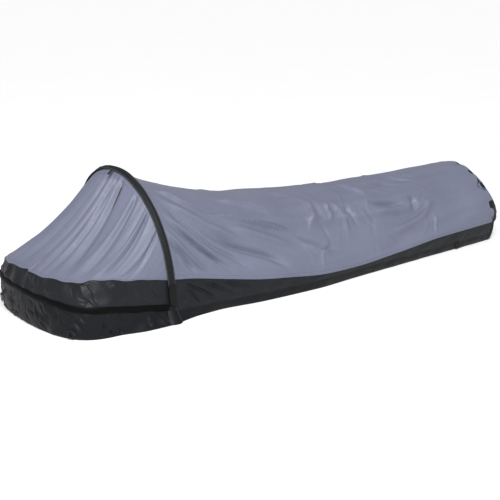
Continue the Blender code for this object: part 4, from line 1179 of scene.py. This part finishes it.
def hoop_track(count, skip):
    """Points along the leaning hoop, skip metres from each foot, outward and aft directions, distances."""
    line = resample(hoop_line(), 1200)
    along = distances(line)
    wanted = np.linspace(skip, along[-1] - skip, count)
    y, z = (np.interp(wanted, along, line[:, c]) for c in (0, 1))
    points = np.column_stack([hoop_x(z), y, z])
    ahead = unit(np.gradient(points, axis=0))
    aft = np.array((1.0, 0.0, -HOOP_LEAN)) / math.hypot(1.0, HOOP_LEAN)
    out = np.cross(ahead, aft)
    out *= np.sign((out * (points - np.array((X_HOOP, 0.0, 0.2)))).sum(axis=1))[:, None]
    return points, out, aft, wanted


def swept(track, profile):
    """Closed tube of own points: profile(distance along) gives (aft, out) pairs."""
    points, out, aft, along = track
    grid = []
    for point, n, a in zip(points, out, along):
        grid.append([point + aft * across + n * high for across, high in profile(a)])
    return np.array(grid).transpose(1, 0, 2)


SLEEVE_SKIP = 0.066              # the sleeve ends this far from the feet of the hoop
SLEEVE_HALF = 0.0128
RIPPLES = (23.0, 41.0, 67.0, 103.0)


def sleeve():
    """Tube of cloth over the pole: arched above it, nearly flat below, rippled along its length."""
    track = hoop_track(420, SLEEVE_SKIP)
    waves = {w: RNG.uniform(0, 6.28) for w in RIPPLES}

    def profile(a):
        ripple = sum(math.sin(w * a * 1.7 + phase) for w, phase in waves.items()) * 0.00022
        wide = SLEEVE_HALF + 0.3 * ripple
        pairs = []
        for k in range(20):
            t = 1 - 2 * k / 19
            over_pole = math.exp(-((t / 0.62) ** 2))
            pairs.append((wide * t, -0.0012 + 0.0068 * over_pole + ripple * (1 - t * t)))
        for k in range(1, 9):
            t = -1 + 2 * k / 9
            pairs.append((wide * t * 0.98, -0.0021 - 0.0022 * (1 - t * t)))
        return pairs

    return swept(track, profile)


def binding(side):
    """Narrow folded tape along one edge of the sleeve."""
    track = hoop_track(420, SLEEVE_SKIP)

    def profile(a):
        middle = side * (0.0126 + 0.0003 * math.sin(61 * a + side))
        return [(middle + 0.0019 * c, -0.0010 + 0.0011 * d) for c, d in oval(10)]

    return swept(track, profile)


# ---- small soft parts --------------------------------------------------------------------------------
def tube_grid(path, radii):
    """Grid round a path of own points, an oval tube with radii across and up."""
    path = np.asarray(path, float)
    ahead = unit(np.gradient(path, axis=0))
    across = unit(np.cross(ahead, np.array((0.0, 0.0, 1.0))))
    high = np.cross(across, ahead)
    return np.array([path + across * radii[0] * c + high * radii[1] * d for c, d in oval(10)])


def seam_ridge(name, path, radii, material):
    """Rolled seam: a slim oval bead along a path of own points."""
    return cloth_sheet(name, tube_grid(path, radii), material, np.mean(path, axis=0), 0.0, True)


GUSSET = {  # the patch under the hoop's foot, level by level: half of its length, distance from the middle
    "z": (0.0015, 0.024, 0.0425, 0.060),
    "half": (0.0225, 0.0205, 0.0170, 0.0165),
    "y": (0.3310, 0.3150, 0.3040, 0.3010),
}


def gusset_grid(side):
    grid = []
    for z in np.linspace(GUSSET["z"][0], GUSSET["z"][-1], 31):
        half, y = (float(np.interp(z, GUSSET["z"], GUSSET[name])) for name in ("half", "y"))
        t = np.linspace(-1, 1, 33)
        hug = 0.0040 * t * t + 0.004 * np.abs(t) ** 6
        grid.append(np.column_stack([X_HOOP - 0.004 + t * half, side * (y - hug), np.full(33, z)]))
    return np.array(grid)


POCKET_LOW = 0.0555
POCKET_TALL = 0.0755
POCKET_RADII = (0.0150, 0.0064)


def pocket_grid(side):
    """Oval pocket round the hoop's foot, closed below."""
    rows, columns = 30, 36
    grid = np.zeros((columns, rows, 3))
    for i, t in enumerate(np.linspace(0, 1, rows)):
        z = POCKET_LOW + POCKET_TALL * t
        full = math.sqrt(max(1 - (1 - min(t / 0.12, 1.0)) ** 2, 0.02))
        for j, (c, d) in enumerate(oval(columns, 0.7, 0.7)):
            wrinkle = 0.0005 * math.sin(6 * math.pi * j / columns + 9 * t)
            x = c * (POCKET_RADII[0] + wrinkle) * full
            grid[j, i] = (hoop_x(z) + x, side * HOOP_HALF + d * POCKET_RADII[1] * full, z)
    return grid


def flat_band(name, matrix, outline, thickness, material):
    """Webbing band lying in a matrix's XY plane; outline is a list of (inner, outer) point pairs."""
    inner = [a for a, _ in outline]
    outer = [b for _, b in outline]
    points, faces, count = [], [], len(outline)
    crown = ((inner, 0.15), (inner, 0.85), (None, 1.12), (outer, 0.85), (outer, 0.15), (None, -0.12))
    for line, level in crown:
        for k in range(count):
            a = line[k] if line else tuple(0.5 * (p + q) for p, q in zip(inner[k], outer[k]))
            points.append(matrix @ Vector((a[0], a[1], level * thickness)))
    for ring in range(6):
        for k in range(count):
            a, b = ring * count, (ring + 1) % 6 * count
            faces.append((a + k, b + k, b + (k + 1) % count, a + (k + 1) % count))
    return mesh_object(name, [tuple(p) for p in points], faces, material, 60)


def frame_matrix(place, x_axis, z_axis):
    """Matrix with its X along x_axis and its Z as near to z_axis as it can be."""
    x, z = Vector(x_axis).normalized(), Vector(z_axis)
    z = (z - x * z.dot(x)).normalized()
    y = z.cross(x)
    return Matrix.Translation(place) @ Matrix((x, y, z)).transposed().to_4x4()


def loop_outline(length=0.0300, width=0.0240, band=0.0052, count=64):
    """(inner, outer) point pairs round a stake loop."""
    pairs = []
    for reach, across in oval(count, 0.62, 0.62):
        outer = (0.5 * length * (1 + reach), 0.5 * width * across)
        inner = (0.5 * length + (0.5 * length - band) * reach, (0.5 * width - band) * across)
        pairs.append((inner, outer))
    return pairs


def tab_mesh(name, matrix, length, width, thickness, material):
    """Short piece of tape with rounded edges and a slight sag."""
    points, faces, steps = [], [], 18
    ring = ((-1, 0.2), (-1, 0.8), (-0.6, 1.0), (0.6, 1.0), (1, 0.8), (1, 0.2), (0.6, 0.0), (-0.6, 0.0))
    for i in range(steps):
        t = i / (steps - 1)
        for across, high in ring:
            z = high * thickness + 0.0003 * math.sin(6 * t)
            points.append(matrix @ Vector((t * length, 0.5 * width * across, z)))
    for i in range(steps - 1):
        for k in range(8):
            a, b = i * 8, (i + 1) * 8
            faces.append((a + k, b + k, b + (k + 1) % 8, a + (k + 1) % 8))
    faces += [tuple(range(8)), tuple(range((steps - 1) * 8, steps * 8))[::-1]]
    return mesh_object(name, [tuple(p) for p in points], faces, material, 50)


# ---- putting the pieces together ---------------------------------------------------------------------
HOOP_MIDDLE = (X_HOOP, 0.0, 0.2)
TAPE_MIDDLE = (-0.7, 0.0, 0.1)
TUB_CLOTH, TAPE_CLOTH = 0.0008, 0.0006      # thickness of the tub's cloth and of the zip tapes
ZIP_INSET = 0.0052               # the zip tapes lie this far inside the head's outline
TAPE_START = 0.045               # where the zip starts, as a share of the head's outline
COIL = {"pitch": 0.0016, "length": 0.0009, "width": 0.0042, "high": 0.0012}
STRAPS = {"pad_strap_chest": -0.260, "pad_strap_legs": 0.340}
STRAP = (0.46, 0.025)            # length and width
LOOPS = {  # place, direction along the loop, direction off its face, of the right side's stake loops
    "head": ((-0.99927, 0.24838, 0.00543), (-0.122, 0.078, 0.989), (-0.838, 0.525, -0.145)),
    "foot": ((0.79533, 0.24187, 0.00521), (0.0, 0.361, 0.932), (0.0665, 0.930, -0.361)),
}
APEX_TAB = ((-0.68493, -0.014, 0.4855), (-0.80, 0, -0.60), (-0.60, 0, 0.80))
CAD_FINISH = {
    "pole_section": "alloy",
    "pole_ferrule": "alloy",
    "shock_cord": "elastic",
    "pole_tip": "plastic",
    "zip_slider": "slider",
    "zip_pull": "slider",
    "mesh_zip_slider": "slider",
}


def bend(obj):
    """Bake a piece's transform into its mesh."""
    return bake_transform(obj)


def part(obj, body=None, replaces=()):
    """Attach a finished piece to what it moves with, and hide the CAD parts it stands for."""
    if body:
        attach(obj, body)
    if replaces:
        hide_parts(*replaces)
    return obj


def sheet_piece(name, grid, look, body, node):
    """A sheet of cloth that stands for one CAD part: look is its material, a place inside, thickness."""
    made = cloth_sheet(name, grid, *look)
    part(made, body, (node,) if node else ())
    return made


def tube_piece(name, grid, material, node=None):
    """A closed tube of cloth on the hood."""
    made = cloth_sheet(name, grid, material, HOOP_MIDDLE, 0.0, True)
    turn_outwards(made)
    return part(made, "hood", (node,) if node else ())


def turn_outwards(obj):
    """Turn a closed tube's faces outwards."""
    bm = bmesh.new()
    bm.from_mesh(obj.data)
    bmesh.ops.recalc_face_normals(bm, faces=bm.faces)
    bm.to_mesh(obj.data)
    bm.free()


def canopy_trims(m, grid, normals):
    """Beads and stitches along the canopy's side seams, its hoop edge and its end seam."""
    trims = []
    for word, edge, inner in (("left", 0, 3), ("right", -1, -4)):
        path = grid[:CANOPY_ROWS, edge] + normals[:CANOPY_ROWS, edge] * 0.0002
        trims.append(seam_ridge(f"side_seam_{word}", path, (0.0016, 0.0014), m["pale"]))
        name, rows = f"side_stitches_{word}", slice(4, CANOPY_ROWS)
        trims.append(stitches(name, grid[rows, inner], normals[rows, inner], m["dark_thread"]))
    for name, row, skip in (("sleeve_edge_stitches", 16, 8), ("foot_seam_stitches", CANOPY_ROWS - 4, 3)):
        across = slice(skip, -skip)
        trims.append(stitches(name, grid[row, across], normals[row, across], m["dark_thread"]))
    return trims


def build_canopy(m):
    grid = canopy()
    cloth = cloth_sheet("canopy", grid, m["pale"], SACK_MIDDLE)
    trims = canopy_trims(m, grid, grid_normals(grid, SACK_MIDDLE))
    part(cloth, replaces=("shoulder_canopy", "body_canopy"))
    for piece in trims + [cloth]:
        bend(piece)


def build_sack(m):
    build_canopy(m)
    for word, side in (("left", -1), ("right", 1)):
        look = (m["dark"], WALL_MIDDLE)
        wall = sheet_piece(f"side_wall_{word}", side_wall(side), look, None, None)
        bend(wall)
    ring = tub()
    sheet_piece("tub_wall", ring, (m["tub"], WALL_MIDDLE, TUB_CLOTH), "sack", "floor_tub")
    sheet_piece("tub_floor_cloth", tub_floor(ring[0]), (m["lining"], (0.0, 0.0, -1.0), TUB_CLOTH), "sack",
                "floor_tub")
    sheet_piece("foot_end_panel", foot_panel_grid(), (m["dark"], (0.8, 0.0, 0.15), TUB_CLOTH), "sack",
                "foot_panel")
    tape = head_tape(-0.016, -0.0008, ZIP_INSET, 5, 200, TAPE_START)
    sheet_piece("zip_tape_lower_cloth", tape, (m["tape"], TAPE_MIDDLE, TAPE_CLOTH), "sack",
                "zip_tape_lower")


def build_gusset(m, word, side):
    grid = gusset_grid(side)
    look = (m["pocket"], (X_HOOP, 0.0, 0.03), 0.0010)
    for place, edge in (("fore", 0), ("aft", -1)):
        name = f"gusset_piping_{word}_{place}"
        bead = seam_ridge(name, grid[:, edge], (0.0012, 0.0012), m["binding"])
        part(bead, "sack")
    sheet_piece(f"gusset_{word}_cloth", grid, look, "sack", f"gusset_{word}")


def build_straps_and_gussets(m):
    for name, x in STRAPS.items():
        place = frame_matrix((x + SHIFT, -0.5 * STRAP[0], 0.0052), (0, 1, 0), (0, 0, 1))
        strap = tab_mesh(name + "_cloth", place, *STRAP, 0.0015, m["tape"])
        part(strap, "sack", (name,))
    for word, side in (("left", -1), ("right", 1)):
        build_gusset(m, word, side)
        name = f"pole_pocket_{word}"
        inside = (hoop_x(0.09), side * HOOP_HALF, 0.09)
        sheath = cloth_sheet(name + "_cloth", pocket_grid(side), m["pocket"], inside, 0.0009, True)
        part(sheath, "hood", (name,))


def build_front(m):
    grid = front_panel()
    out = grid_normals(grid, HEAD_MIDDLE)
    seam = stitches("front_seam_stitches", grid[-3, 6:-6], out[-3, 6:-6], m["dark_thread"])
    edge = stitches("front_edge_stitches", grid[4, 20:-20], out[4, 20:-20], m["dark_thread"])
    bead = seam_ridge("head_seam_bead", grid[-1] + out[-1] * 0.0006, (0.0016, 0.0013), m["pale"])
    trims = [part(piece, "hood") for piece in (seam, edge, bead)]
    sheet_piece("front_panel", grid, (m["pale"], HEAD_MIDDLE), "hood", "hood_canopy")


def build_hood(m):
    build_front(m)
    sheet_piece("head_band", head_band(), (m["dark"], HEAD_MIDDLE), "hood", "hood_band")
    tube_piece("storm_flap_cloth", storm_flap(), m["flap"], "storm_flap")
    look = (m["tape"], TAPE_MIDDLE, TAPE_CLOTH)
    tape = head_tape(0.0008, 0.016, ZIP_INSET, 5, 200, TAPE_START)
    sheet_piece("zip_tape_upper_cloth", tape, look, "hood", "zip_tape_upper")
    strip = head_tape(0.0, 0.004, 0.0040, 3, 900, TAPE_START)
    away = grid_normals(strip, TAPE_MIDDLE)[0]
    part(stitches("zip_coil", strip[0], away, m["plastic"], **COIL), "hood")
    net = ruled(0.012, 0.022, 0.016, 121, 41, (0.14, 0.86), 0.026, 0.006)
    sheet_piece("mesh_door_net", net, (m["net"], HEAD_MIDDLE, 0.0), "hood", "mesh_door")
    tape = head_tape(-0.022, -0.006, 0.016, 5, 200, 0.12, False)
    sheet_piece("mesh_zip_tape_cloth", tape, look, "hood", "mesh_zip_tape")


def build_sleeve(m):
    tube_piece("pole_sleeve_cloth", sleeve(), m["sleeve"], "pole_sleeve")
    points, out, aft, _ = hoop_track(500, SLEEVE_SKIP + 0.004)
    for word, side in (("fore", -1), ("aft", 1)):
        tube_piece(f"sleeve_binding_{word}", binding(side), m["binding"])
        line = points + aft * (side * 0.0096) + out * 0.0012
        part(stitches(f"sleeve_stitches_{word}", line, out, m["dark_thread"]), "hood")


def build_loops(m):
    for end, (place, up, out) in LOOPS.items():
        for word, side in (("left", -1), ("right", 1)):
            place_here, up_here, out_here = ((x, y * side, z) for x, y, z in (place, up, out))
            matrix = frame_matrix(place_here, up_here, out_here)
            name = f"stake_loop_{end}_{word}"
            ring = flat_band(name + "_cloth", matrix, loop_outline(), 0.0020, m["tape"])
            part(ring, name, (name,))
    tab = tab_mesh("apex_tab_cloth", frame_matrix(*APEX_TAB), 0.0258, 0.0118, 0.0017, m["tape"])
    part(tab, "apex_tab", ("apex_tab",))


def finish_cad(m):
    """Give the hard CAD parts their own procedural finishes."""
    for name, node in frame["nodes"].items():
        for start, key in CAD_FINISH.items():
            if name.startswith(start):
                node.data.materials.clear()
                node.data.materials.append(m[key])


# ---- stage, light and camera -------------------------------------------------------------------------
WORLD_LIGHT = 0.50
KEY_LIGHT = 4.0
KEY_SOFTNESS = 14.0              # width of the key light, degrees
KEY_FROM = (-2.0, -2.6, 3.2)
HEAD_FILL = 55.0
HEAD_FILL_PLACE = (-1.5, -2.1, 2.4)
HEAD_FILL_AIM = (-0.3, 0.0, 0.2)
FLOOR_HALF = 40
CAMERA_PLACE = (-2.76536, -3.55422, 1.34685)
CAMERA_VIEW = (-37.073, 15.719)  # azimuth and elevation of the view, degrees
CAMERA_LENS = 87.38


def staged(name, data, place=(0.0, 0.0, 0.0), back=(0.0, 0.0, 1.0)):
    """Object of the stage at a place, its own Z towards back."""
    made = linked(name, data)
    made.location = place
    made.rotation_euler = Vector(back).to_track_quat("Z", "Y").to_euler()
    made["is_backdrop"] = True
    return made


def studio_floor():
    n = Nodes("studio_paper")
    place = n.add("ShaderNodeTexCoord").outputs["Object"]
    tone = n.mix(n.noise(place, 3.0), (0.70, 0.70, 0.705, 1), (0.72, 0.72, 0.72, 1))
    n.feed(n.shader.inputs["Base Color"], tone)
    n.feed(n.shader.inputs["Roughness"], n.remap(n.noise(place, 60.0), 0.3, 0.7, 0.85, 0.95))
    corners = [(FLOOR_HALF * x, FLOOR_HALF * y, 0) for x, y in ((-1, -1), (1, -1), (1, 1), (-1, 1))]
    mesh = bpy.data.meshes.new("studio_floor")
    mesh.from_pydata(corners, [], [(0, 1, 2, 3)])
    mesh.materials.append(n.material)
    linked("studio_floor", mesh)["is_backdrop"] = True


def lights():
    world = bpy.data.worlds.new("studio")
    world.use_nodes = True
    background = world.node_tree.nodes["Background"]
    background.inputs["Color"].default_value = (1.0, 1.0, 1.0, 1)
    background.inputs["Strength"].default_value = WORLD_LIGHT
    bpy.context.scene.world = world
    lamp = bpy.data.lights.new("key", "SUN")
    lamp.energy, lamp.angle = KEY_LIGHT, math.radians(KEY_SOFTNESS)
    staged("key", lamp, back=KEY_FROM)
    lamp = bpy.data.lights.new("head_fill", "AREA")
    lamp.shape, lamp.size, lamp.energy = "DISK", 0.9, HEAD_FILL
    staged("head_fill", lamp, HEAD_FILL_PLACE, Vector(HEAD_FILL_PLACE) - Vector(HEAD_FILL_AIM))


def camera():
    data = bpy.data.cameras.new("camera")
    data.lens, data.sensor_width, data.clip_end = CAMERA_LENS, 36.0, 100.0
    a, e = (math.radians(angle) for angle in CAMERA_VIEW)
    back = (math.sin(a) * math.cos(e), -math.cos(a) * math.cos(e), math.sin(e))
    place = Vector(CAMERA_PLACE) + Vector((SHIFT, 0, 0))
    bpy.context.scene.camera = staged("camera", data, place, back)


def plain(value):
    if isinstance(value, dict):
        return {key: plain(entry) for key, entry in value.items()}
    if isinstance(value, (int, float, str)):
        return value
    return [plain(entry) for entry in value]


def main():
    m = all_materials()
    build_sleeve(m)
    build_hood(m)
    build_sack(m)
    build_straps_and_gussets(m)
    build_loops(m)
    finish_cad(m)
    studio_floor()
    lights()
    camera()
    bpy.context.scene.view_settings.view_transform = "Standard"
    {"cad": plain(cad_box), "visual": plain(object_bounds())}


main()
